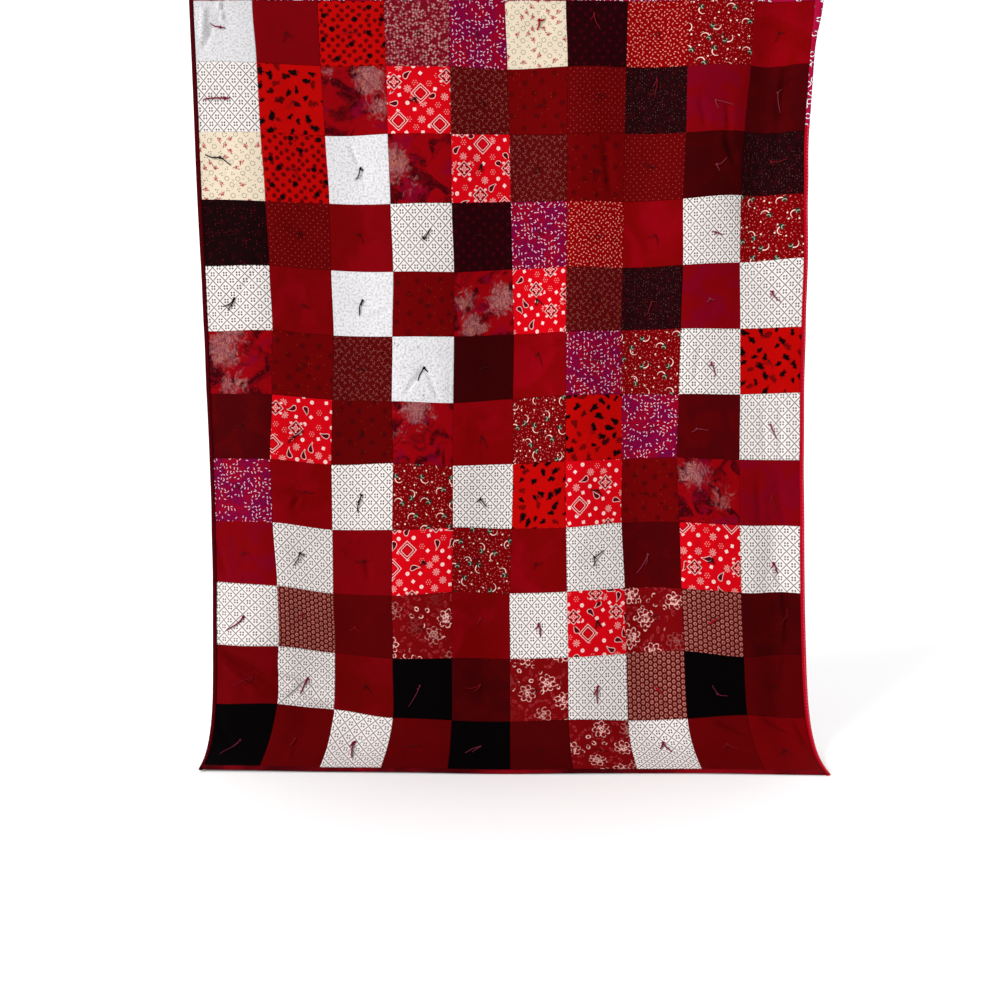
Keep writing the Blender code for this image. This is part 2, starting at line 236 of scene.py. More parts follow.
class HangingCloth:
    """The middle surface of the quilt as it hangs, with its folds and its kicked-out hem."""

    def __init__(self) -> None:
        """Walk down the cloth once, and keep its side view."""
        places = [lean.down for lean in LEANS]
        steps = int(LEANS[-1].down / LEAN_STEP) + 2
        self.lengths = np.arange(steps) * LEAN_STEP
        degrees = curve_at(places, [lean.degrees for lean in LEANS], self.lengths)
        self.leans = np.radians(np.maximum(degrees, 0.0))
        forward = np.sin(self.leans) * LEAN_STEP
        drop = np.cos(self.leans) * LEAN_STEP
        self.forwards = np.concatenate(([0.0], np.cumsum(forward)[:-1]))
        self.drops = np.concatenate(([0.0], np.cumsum(drop)[:-1]))
        self.row_lengths = BINDING_DEPTH + np.cumsum([0.0] + [r.height * MM for r in ROW_SEAMS])
        self.shifts = np.zeros((ROWS + 1, COLUMNS + 1, 2))
        for row, corners in SHIFTS.items():
            for column, (right, below) in corners.items():
                self.shifts[row, column] = (right * MM / PATCH_WIDTH, below * MM / PATCH_HEIGHT)

    def shifted(self, across: np.ndarray, down: np.ndarray) -> tuple[np.ndarray, np.ndarray]:
        """Move places on the even grid by what the corners round them are off it.

        Args:
            across: Places across, in patches.
            down: Places down, in patches.

        Returns:
            The moved places across and down.
        """
        column = np.clip(np.floor(across).astype(int), 0, COLUMNS - 1)
        row = np.clip(np.floor(down).astype(int), 0, ROWS - 1)
        right = smooth_step(across - column)[:, None]
        below = smooth_step(down - row)[:, None]
        upper = self.shifts[row, column] * (1.0 - right) + self.shifts[row, column + 1] * right
        lower = self.shifts[row + 1, column] * (1.0 - right) + self.shifts[row + 1, column + 1] * right
        move = upper * (1.0 - below) + lower * below
        return across + move[:, 0], down + move[:, 1]

    def across_place(self, across: np.ndarray, down: np.ndarray) -> np.ndarray:
        """X of places on the cloth.

        Args:
            across: Places across, in patches.
            down: Places down, in patches.

        Returns:
            X in metres.
        """
        seams = [curve_at(WIDTH_LEVELS, LEFT_EDGE, down)]
        for widths in COLUMN_WIDTHS:
            seams.append(seams[-1] + curve_at(WIDTH_LEVELS, widths, down))
        table = np.array(seams) * MM
        column = np.clip(np.floor(across).astype(int), 0, COLUMNS - 1)
        each = np.arange(across.size)
        left, right = table[column, each], table[column + 1, each]
        return left + (across - column) * (right - left)

    def length_down(self, across: np.ndarray, down: np.ndarray) -> np.ndarray:
        """How far places are from the top edge, measured along the cloth.

        Args:
            across: Places across, in patches.
            down: Places down, in patches.

        Returns:
            Metres of cloth.
        """
        rows = range(ROWS + 1)
        sags = [np.zeros(across.size)]
        sags += [curve_at(SAG_PLACES, row[1:], across) for row in ROW_SEAMS]
        return curve_at(rows, self.row_lengths, down) + curve_at(rows, np.array(sags), down) * MM

    def fold_height(self, across: np.ndarray, down: np.ndarray) -> np.ndarray:
        """How far the folds stand out from the plain hanging cloth.

        Args:
            across: Places across, in patches.
            down: Places down, in patches.

        Returns:
            Metres toward the front.
        """
        height = np.zeros(across.size)
        for fold in FOLDS:
            run = np.array((fold.across1 - fold.across0, fold.down1 - fold.down0))
            length = float(np.hypot(*run))
            unit = run / length
            right, below = across - fold.across0, down - fold.down0
            along = right * unit[0] + below * unit[1]
            aside = right * unit[1] - below * unit[0]
            ends = smooth_step((along + fold.fade) / fold.fade)
            ends = ends * smooth_step((length + fold.fade - along) / fold.fade)
            height += fold.depth * ends * np.exp(-((aside / fold.half_width) ** 2))
        hem = 1.0 - HEM_FADE * smooth_step((down - HEM_FADE_START) / (ROWS - HEM_FADE_START))
        return height * hem * MM

    def middle(self, across: np.ndarray, down: np.ndarray) -> np.ndarray:
        """Points on the middle surface, one row each.

        Args:
            across: Places across, in patches.
            down: Places down, in patches.

        Returns:
            One point a row.
        """
        across, down = self.shifted(across, down)
        length = self.length_down(across, down)
        forward = np.interp(length, self.lengths, self.forwards)
        drop = np.interp(length, self.lengths, self.drops) + np.minimum(length, 0.0)
        lean = np.interp(length, self.lengths, self.leans)
        raised = self.fold_height(across, down)
        x = self.across_place(across, down)
        y = -forward - raised * np.cos(lean)
        z = -drop + raised * np.sin(lean)
        return np.stack((x, y, z), axis=1)

    def place(self, across: Any, down: Any, height: Any) -> np.ndarray:
        """Points at a height off the middle surface.

        Args:
            across: Places across, in patches.
            down: Places down, in patches.
            height: Metres off the middle surface, toward the front.

        Returns:
            One point a row.
        """
        across = np.atleast_1d(np.asarray(across, float))
        down = np.atleast_1d(np.asarray(down, float))
        right = self.middle(across + SLOPE_REACH, down) - self.middle(across - SLOPE_REACH, down)
        below = self.middle(across, down + SLOPE_REACH) - self.middle(across, down - SLOPE_REACH)
        facing = np.cross(below, right)
        facing /= np.linalg.norm(facing, axis=1)[:, None]
        return self.middle(across, down) + facing * np.reshape(height, (-1, 1))


CLOTH = HangingCloth()


@dataclass(frozen=True)
class Viewpoint:
    """The camera of the photograph, and the way back from its pixels to the cloth."""

    place: tuple[float, float, float] = (0.0087, -2.136, -1.006)
    tilt_down: float = 4.0
    focal_pixels: float = 900.0
    centre: tuple[float, float] = (509.0, 500.0)
    image_side: float = 1000.0
    sensor: float = 36.0

    def build(self) -> bpy.types.Object:
        """Make the scene's camera.

        Returns:
            The camera object.
        """
        data = bpy.data.cameras.new("camera")
        data.sensor_width = self.sensor
        data.lens = self.focal_pixels / self.image_side * self.sensor
        data.shift_x = (self.image_side / 2.0 - self.centre[0]) / self.image_side
        data.shift_y = (self.centre[1] - self.image_side / 2.0) / self.image_side
        data.clip_start = 0.02
        data.clip_end = 60.0
        camera = bpy.data.objects.new("camera", data)
        camera.location = self.place
        camera.rotation_euler = (math.radians(90.0 - self.tilt_down), 0.0, 0.0)
        bpy.context.scene.collection.objects.link(camera)
        bpy.context.scene.camera = camera
        return camera

    def pixels(self, points: np.ndarray) -> np.ndarray:
        """Where points fall in the image, in pixels from its top left.

        Args:
            points: Points in metres, one a row.

        Returns:
            Pixels, one pair a row.
        """
        tilt = math.radians(self.tilt_down)
        ahead = np.array((0.0, math.cos(tilt), -math.sin(tilt)))
        upward = np.array((0.0, math.sin(tilt), math.cos(tilt)))
        from_eye = points - np.array(self.place)
        depth = from_eye @ ahead
        right = self.centre[0] + self.focal_pixels * from_eye[:, 0] / depth
        down = self.centre[1] - self.focal_pixels * (from_eye @ upward) / depth
        return np.stack((right, down), axis=1)

    def cloth_at(self, wanted: np.ndarray, start: np.ndarray) -> np.ndarray:
        """Find which places on the cloth fall on some pixels.

        Args:
            wanted: Pixels, one pair a row.
            start: A first guess of across and down for each.

        Returns:
            Across and down, in patches, one pair a row.
        """
        step = 0.01
        found = start.astype(float).copy()
        for _ in range(6):
            here = self.pixels(CLOTH.middle(found[:, 0], found[:, 1]))
            by_across = (self.pixels(CLOTH.middle(found[:, 0] + step, found[:, 1])) - here) / step
            by_down = (self.pixels(CLOTH.middle(found[:, 0], found[:, 1] + step)) - here) / step
            miss = wanted - here
            size = by_across[:, 0] * by_down[:, 1] - by_across[:, 1] * by_down[:, 0]
            found[:, 0] += (miss[:, 0] * by_down[:, 1] - miss[:, 1] * by_down[:, 0]) / size
            found[:, 1] += (by_across[:, 0] * miss[:, 1] - by_across[:, 1] * miss[:, 0]) / size
        return found


VIEWPOINT = Viewpoint()


class Thread(Enum):
    """The tying threads: colour, and half their thickness in millimetres."""

    CRIMSON = ("7C0A2A", 1.7)
    MAGENTA = ("84143C", 1.3)
    SCARLET = ("A00C18", 2.0)
    PINK = ("903448", 0.7)
    DUSK = ("701C40", 0.9)
    RED = ("880E1C", 0.75)
    BLACK = ("050202", 1.5)
    WINE = ("5E040A", 0.75)
    MAROON = ("430306", 0.75)

    @property
    def radius(self) -> float:
        """Half the thread's thickness, in metres."""
        return self.value[1] * MM


T = Thread
Tie = namedtuple("Tie", "row column knot tails thread")
# The ties that show in the photograph: the knot and the two free ends, in its pixels.
SEEN_TIES = (
    Tie(1, 1, (221, 28), ((211, 24), (226, 29)), T.MAGENTA),
    Tie(1, 6, (539, 21), ((537, 31), (545, 20)), T.SCARLET),
    Tie(1, 7, (594, 15), ((600, 31), (590, 20)), T.RED),
    Tie(2, 1, (226, 99), ((204, 100), (231, 98)), T.CRIMSON),
    Tie(2, 8, (657, 80), ((655, 99), (653, 88)), T.RED),
    Tie(2, 9, (715, 101), ((733, 106), (718, 109)), T.PINK),
    Tie(2, 10, (778, 93), ((780, 112), (782, 88)), T.PINK),
    Tie(3, 1, (221, 158), ((206, 155), (232, 166)), T.BLACK),
    Tie(3, 3, (361, 169), ((356, 180), (364, 171)), T.BLACK),
    Tie(3, 9, (716, 165), ((726, 158), (719, 171)), T.PINK),
    Tie(3, 10, (771, 162), ((788, 159), (773, 166)), T.RED),
    Tie(4, 4, (424, 239), ((431, 229), (422, 236)), T.BLACK),
    Tie(4, 9, (715, 233), ((722, 235), (712, 231)), T.MAGENTA),
    Tie(5, 1, (235, 299), ((224, 307), (229, 311)), T.BLACK),
    Tie(5, 3, (363, 301), ((360, 316), (362, 306)), T.BLACK),
    Tie(5, 8, (652, 302), ((646, 316), (648, 310)), T.RED),
    Tie(5, 9, (709, 299), ((714, 300), (706, 302)), T.PINK),
    Tie(5, 10, (772, 292), ((781, 303), (770, 297)), T.MAGENTA),
    Tie(6, 4, (424, 368), ((418, 381), (428, 372)), T.BLACK),
    Tie(6, 6, (538, 354), ((543, 366), (535, 356)), T.MAROON),
    Tie(6, 9, (711, 363), ((714, 377), (708, 366)), T.MAGENTA),
    Tie(7, 2, (294, 437), ((303, 430), (288, 443)), T.BLACK),
    Tie(7, 5, (481, 437), ((487, 448), (479, 443)), T.MAROON),
    Tie(7, 9, (696, 429), ((708, 430), (691, 432)), T.PINK),
    Tie(7, 10, (770, 425), ((776, 439), (772, 431)), T.MAGENTA),
    Tie(8, 3, (362, 495), ((359, 513), (358, 503)), T.BLACK),
    Tie(8, 5, (480, 499), ((487, 507), (476, 502)), T.BLACK),
    Tie(8, 10, (771, 496), ((778, 514), (769, 502)), T.RED),
    Tie(9, 2, (300, 553), ((294, 565), (305, 555)), T.BLACK),
    Tie(9, 7, (594, 557), ((603, 550), (593, 566)), T.BLACK),
    Tie(9, 8, (648, 554), ((636, 573), (645, 565)), T.PINK),
    Tie(9, 10, (773, 563), ((778, 574), (770, 568)), T.CRIMSON),
    Tie(10, 1, (244, 617), ((228, 630), (238, 624)), T.CRIMSON),
    Tie(10, 2, (304, 614), ((290, 626), (300, 622)), T.RED),
    Tie(10, 3, (355, 627), ((361, 631), (350, 630)), T.RED),
    Tie(10, 5, (480, 618), ((492, 626), (476, 624)), T.RED),
    Tie(10, 6, (539, 624), ((541, 637), (535, 629)), T.CRIMSON),
    Tie(10, 9, (712, 621), ((718, 618), (708, 624)), T.SCARLET),
    Tie(10, 10, (785, 618), ((775, 627), (781, 625)), T.WINE),
    Tie(11, 1, (253, 678), ((234, 686), (246, 684)), T.RED),
    Tie(11, 2, (308, 678), ((301, 693), (305, 684)), T.CRIMSON),
    Tie(11, 4, (420, 686), ((409, 707), (417, 689)), T.DUSK),
    Tie(11, 5, (480, 685), ((466, 688), (474, 691)), T.RED),
    Tie(11, 7, (597, 687), ((597, 704), (593, 695)), T.CRIMSON),
    Tie(11, 8, (658, 689), ((663, 694), (655, 686)), T.SCARLET),
    Tie(11, 9, (717, 694), ((712, 685), (727, 696)), T.DUSK),
    Tie(12, 1, (241, 741), ((220, 756), (232, 749)), T.DUSK),
    Tie(12, 2, (295, 740), ((286, 749), (291, 747)), T.RED),
    Tie(12, 3, (355, 743), ((352, 760), (350, 748)), T.CRIMSON),
    Tie(12, 4, (412, 747), ((404, 747), (421, 746)), T.WINE),
    Tie(12, 5, (480, 748), ((465, 755), (472, 754)), T.PINK),
    Tie(12, 8, (663, 744), ((672, 754), (660, 750)), T.CRIMSON),
    Tie(12, 9, (727, 745), ((739, 751), (722, 749)), T.RED),
)

Crease = namedtuple("Crease", "row column x0 y0 x1 y1 depth half_width")
# Creases seen in the photograph, in its pixels. Depth is in millimetres, sunk (+) or raised (-),
# and half widths are too. Row and column say where the line starts.
CREASES = (
    Crease(1, 1, 219, 1, 224, 24, -2.2, 5),
    Crease(1, 1, 224, 1, 219, 20, 1.8, 4),
    Crease(1, 1, 213, 26, 202, 52, 1.6, 7),
    Crease(1, 1, 205, 8, 203, 40, -2.0, 8),
    Crease(2, 9, 727, 100, 729, 142, 1.4, 7),
    Crease(2, 10, 786, 66, 779, 128, 3.2, 10),
    Crease(3, 9, 724, 134, 735, 164, 3.2, 8),
    Crease(3, 10, 779, 130, 776, 192, 2.4, 12),
    Crease(3, 7, 604, 140, 612, 198, 2.2, 11),
    Crease(3, 3, 350, 145, 360, 168, 1.1, 4),
    Crease(4, 2, 285, 225, 325, 243, 1.2, 10),
    Crease(5, 1, 238, 296, 258, 268, 1.2, 5),
    Crease(5, 3, 368, 320, 393, 308, 1.2, 6),
    Crease(6, 4, 423, 368, 403, 398, 1.3, 4),
    Crease(6, 4, 425, 368, 440, 402, 1.1, 4),
    Crease(6, 1, 238, 352, 215, 378, 1.5, 5),
    Crease(6, 1, 240, 352, 262, 336, 1.2, 5),
    Crease(8, 10, 778, 480, 786, 530, 1.3, 9),
    Crease(8, 10, 757, 478, 760, 528, 1.0, 9),
    Crease(9, 10, 776, 570, 783, 592, 2.4, 6),
    Crease(10, 10, 783, 592, 787, 619, 3.2, 5),
    Crease(10, 10, 787, 619, 785, 650, 3.0, 5),
    Crease(11, 10, 785, 652, 783, 690, 1.4, 8),
    Crease(11, 1, 224, 652, 275, 685, 2.6, 8),
    Crease(11, 1, 222, 662, 262, 696, -1.6, 8),
    Crease(11, 2, 280, 674, 334, 695, 2.6, 6),
    Crease(11, 2, 290, 686, 334, 704, -2.0, 6),
    Crease(11, 3, 312, 705, 340, 716, 1.4, 7),
    Crease(12, 9, 716, 722, 746, 734, 2.4, 5),
    Crease(12, 10, 760, 716, 795, 734, 1.6, 7),
    Crease(12, 10, 795, 720, 812, 752, 1.6, 8),
    Crease(12, 1, 214, 716, 232, 748, 1.6, 8),
    Crease(7, 10, 762, 404, 765, 460, 0.9, 7),
    Crease(7, 10, 780, 404, 781, 462, 1.3, 5),
    Crease(9, 9, 700, 530, 704, 586, 1.0, 9),
    Crease(9, 3, 343, 550, 364, 560, 1.4, 6),
    Crease(9, 3, 365, 558, 370, 582, 1.4, 6),
    Crease(8, 2, 300, 497, 292, 508, 1.3, 6),
    Crease(9, 1, 215, 540, 228, 578, 1.2, 8),
    Crease(11, 2, 304, 684, 286, 700, 1.8, 5),
    Crease(3, 3, 362, 172, 366, 190, 0.9, 4),
    Crease(2, 9, 706, 128, 700, 96, 1.2, 8),
    Crease(6, 9, 700, 345, 694, 388, 1.0, 6),
)
Wrinkle = namedtuple("Wrinkle", "start end depth half_width")


# Ten columns in each of twelve rows, from the top.
CHART = (
    "WS WN RS BM PC CR NB PD GP RD",
    "WL RB BA BN BS DS PN BK CM MR",
    "CR RS WS BA BN BS DS PN MR BK",
    "BR PN RD WL NB PC PD RD WL GP",
    "WL RD WS DS BA BN BS BK CM WL",
    "BA DS BS WS NM RD PC GP WL RB",
    "MR BN DS BA RD GP RB PC MR WL",
    "PC RD WL GP WL RB BN DS BA CM",
    "CM WL WN BN GP RD WL MR BN WL",
    "WL RG DR PF RD WL BN PF RG MR",
    "RD WL RD BL MR PF WL RG BL DR",
    "BL DR WL DR BL DR PF WL DR DR",
)


class Relief:
    """How high the front of the patchwork stands off the middle of the quilt, tie by tie."""

    SEAM_HEIGHT = 0.0024
    PUFF = 0.0036
    TIE_PULL = 0.86
    TIE_RADIUS = 0.24
    SEAM_PULL = 0.22
    SEAM_RADIUS = 0.12
    EDGE_FLAT = 0.28
    SOFTNESS = 0.0007
    CREASE_FULLNESS = 3.6
    KNOT_SPREAD = 0.03
    TAIL_TURNS = (0.1, 1.9)
    TAIL_LENGTHS = (0.07, 0.16)
    DRAG_START = 0.04
    DRAG_LENGTHS = (0.16, 0.42)
    DRAG_HALF_WIDTHS = (3.0, 6.5)
    BRIGHT_COTTONS = ("PC", "PD", "GP", "RB", "RS", "BM", "CM", "BA", "PF")

    def __init__(self, seed: int = 41) -> None:
        """Place every knot and wrinkle.

        Args:
            seed: Chooses the wrinkles that are not charted.
        """
        self.draw = random.Random(seed)
        self.ties = self.charted_ties()
        self.creases = self.charted_creases()
        self.wrinkles = self.drag_lines()

    def charted_ties(self) -> dict[tuple[int, int], tuple[np.ndarray, np.ndarray, Thread]]:
        """Every tie's knot and free ends on the cloth, from the photograph where it shows them.

        Returns:
            For each row and column: the knot, its two tail ends, and the thread.
        """
        found = {}
        for tie in SEEN_TIES:
            wanted = np.array((tie.knot,) + tie.tails, float)
            start = np.tile((tie.column - 0.5, tie.row - 0.5), (3, 1))
            places = VIEWPOINT.cloth_at(wanted, start)
            found[tie.row, tie.column] = (places[0], places[1:], tie.thread)
        for row in range(1, ROWS + 1):
            for column in range(1, COLUMNS + 1):
                if (row, column) in found:
                    continue
                off = [self.draw.gauss(0, self.KNOT_SPREAD) for _ in range(2)]
                knot = np.array((column - 0.5 + off[0], row - 0.5 + off[1]))
                ends = []
                for side in (-1, 1):
                    turn = side * self.draw.uniform(*self.TAIL_TURNS)
                    length = self.draw.uniform(*self.TAIL_LENGTHS)
                    ends.append(knot + (length * math.sin(turn), length * math.cos(turn)))
                cotton = CHART[row - 1].split()[column - 1]
                dark = T.BLACK if cotton == "BN" else T.MAROON
                thread = T.WINE if cotton in self.BRIGHT_COTTONS else dark
                found[row, column] = (knot, np.array(ends), thread)
        return found

    def charted_creases(self) -> list[Wrinkle]:
        """The creases of the photograph, brought to the cloth.

        Returns:
            The creases.
        """
        lines = []
        for crease in CREASES:
            wanted = np.array(((crease.x0, crease.y0), (crease.x1, crease.y1)), float)
            start = np.tile((crease.column - 0.5, crease.row - 0.5), (2, 1))
            ends = VIEWPOINT.cloth_at(wanted, start)
            depth = crease.depth * self.CREASE_FULLNESS
            lines.append(Wrinkle(ends[0], ends[1], depth, crease.half_width))
        return lines

    def drag_lines(self) -> list[Wrinkle]:
        """Short soft wrinkles that run out from every knot, most of them downward.

        Returns:
            The wrinkles.
        """
        lines = []
        for (row, column), (knot, _, _) in sorted(self.ties.items()):
            for number in range(self.draw.choice((3, 4, 5))):
                turn = self.draw.gauss(0.0, 0.75) + (math.pi if number == 3 else 0.0)
                length = self.draw.uniform(*self.DRAG_LENGTHS)
                way = np.array((math.sin(turn), math.cos(turn)))
                start, end = knot + self.DRAG_START * way, knot + length * way
                depth = self.draw.uniform(0.4, 1.0) * self.draw.choice((1, 1, -1))
                lines.append(Wrinkle(start, end, depth, self.draw.uniform(*self.DRAG_HALF_WIDTHS)))
        return lines

    def puff(self, across: np.ndarray, down: np.ndarray) -> np.ndarray:
        """How full the filling is, from 0 where it is sewn flat to 1.

        Args:
            across: Places across, in patches.
            down: Places down, in patches.

        Returns:
            The fullness at each place.
        """
        edge = np.minimum(np.minimum(across, COLUMNS - across), np.minimum(down, ROWS - down))
        column = np.clip(np.floor(across).astype(int), 0, COLUMNS - 1)
        row = np.clip(np.floor(down).astype(int), 0, ROWS - 1)
        knots = np.array([[self.ties[r + 1, c + 1][0] for c in range(COLUMNS)] for r in range(ROWS)])
        knot = knots[row, column]
        tie = np.hypot(across - knot[:, 0], down - knot[:, 1])
        seam = np.minimum(np.abs(across - np.round(across)), np.abs(down - np.round(down)))
        full = 1.0 - self.TIE_PULL * np.exp(-((tie / self.TIE_RADIUS) ** 2))
        full -= self.SEAM_PULL * np.exp(-((seam / self.SEAM_RADIUS) ** 2))
        return np.maximum(full, 0.0) * smooth_step(edge / self.EDGE_FLAT)

    def along(self, lines: Sequence[Wrinkle], across: np.ndarray, down: np.ndarray) -> np.ndarray:
        """Metres that some soft troughs and ridges add, faded toward the quilt's edges.

        Args:
            lines: The troughs and ridges.
            across: Places in patches from the left seam.
            down: Places in patches from the top seam.

        Returns:
            The height at each place.
        """
        total = np.zeros(across.size)
        x, y = across * PATCH_WIDTH, down * PATCH_HEIGHT
        for line in lines:
            x0, y0 = line.start[0] * PATCH_WIDTH, line.start[1] * PATCH_HEIGHT
            x1, y1 = line.end[0] * PATCH_WIDTH, line.end[1] * PATCH_HEIGHT
            width = line.half_width * MM
            reach = 3.0 * width
            near = (x > min(x0, x1) - reach) & (x < max(x0, x1) + reach)
            near &= (y > min(y0, y1) - reach) & (y < max(y0, y1) + reach)
            if not near.any():
                continue
            length = math.hypot(x1 - x0, y1 - y0)
            unit = ((x1 - x0) / length, (y1 - y0) / length)
            right, below = x[near] - x0, y[near] - y0
            along = (right * unit[0] + below * unit[1]) / length
            aside = (right * unit[1] - below * unit[0]) / width
            ends = smooth_step((along + 0.15) / 0.4) * smooth_step((1.15 - along) / 0.5)
            total[near] -= line.depth * MM * ends * np.exp(-(aside**2))
        edge = np.minimum(np.minimum(across, COLUMNS - across), np.minimum(down, ROWS - down))
        return total * smooth_step((edge + 0.05) / 0.2)

    def bend(self, across: np.ndarray, down: np.ndarray) -> np.ndarray:
        """Metres that the charted creases move the whole thickness of the quilt."""
        return self.along(self.creases, across, down)

    def hollow(self, across: np.ndarray, down: np.ndarray) -> np.ndarray:
        """The same for the filling, in wider troughs and no ridges, so that it stays under its cover.

        Args:
            across: Places across, in patches.
            down: Places down, in patches.

        Returns:
            The height at each place.
        """
        troughs = [line for line in self.creases if line.depth > 0.0]
        wider = [line._replace(half_width=line.half_width * 1.5) for line in troughs]
        return self.along(wider, across, down)

    def front(self, across: Any, down: Any) -> np.ndarray:
        """Height of the patchwork's face off the middle of the quilt, in metres.

        Args:
            across: Places across, in patches.
            down: Places down, in patches.

        Returns:
            The height at each place.
        """
        across = np.atleast_1d(np.asarray(across, float))
        down = np.atleast_1d(np.asarray(down, float))
        soft = [
            noise.noise(Vector((a * 3.1, d * 3.3, 0.5))) + 0.6 * noise.noise(Vector((a * 7.3, d * 7.7, 4.5)))
            for a, d in zip(across, down)
        ]
        puffed = self.SEAM_HEIGHT + self.PUFF * self.puff(across, down)
        fine = self.along(self.wrinkles, across, down) + np.array(soft) * self.SOFTNESS
        return puffed + self.bend(across, down) + fine


RELIEF = Relief()


def operation(name: str, is_swapped: bool = False) -> Callable[["Field", Any], "Field"]:
    """Make a method that sends a field and another value through one Math node.

    Args:
        name: The node's operation.
        is_swapped: Whether the other value comes first.

    Returns:
        The method.
    """

    def method(field: "Field", other: Any) -> "Field":
        """The operation's result, one where a comparison holds and else nought."""
        values = (other, field) if is_swapped else (field, other)
        return field.sketch.math(name, *values)

    return method


class Field:
    """A number that varies over the cloth: one output of one node, with plain arithmetic."""

    def __init__(self, sketch: "Sketch", socket: bpy.types.NodeSocket) -> None:
        """Keep the node output and the sketch that it is drawn in."""
        self.sketch = sketch
        self.socket = socket

    __add__ = __radd__ = operation("ADD")
    __sub__ = operation("SUBTRACT")
    __rsub__ = operation("SUBTRACT", is_swapped=True)
    __mul__ = __rmul__ = operation("MULTIPLY")
    __truediv__ = operation("DIVIDE")
    over = operation("GREATER_THAN")
    under = operation("LESS_THAN")
    # As shapes, the lower of two is both together, and the higher is only where they overlap.
    least = operation("MINIMUM")
    most = operation("MAXIMUM")

    def __neg__(self) -> "Field":
        """This with its sign turned."""
        return self * -1.0

    def __abs__(self) -> "Field":
        """This without its sign."""
        return self.sketch.math("ABSOLUTE", self)

    def band(self, low: float, high: float) -> "Field":
        """One where this is between two limits, else nought."""
        return self.over(low) * self.under(high)

    def ramp(self, low: float, high: float) -> "Field":
        """Ease from 0 to 1 while this goes from low to high."""
        return self.sketch.ramp(self, low, high)


Number = Union[Field, float]
Spot = namedtuple("Spot", "x y pick turn size")


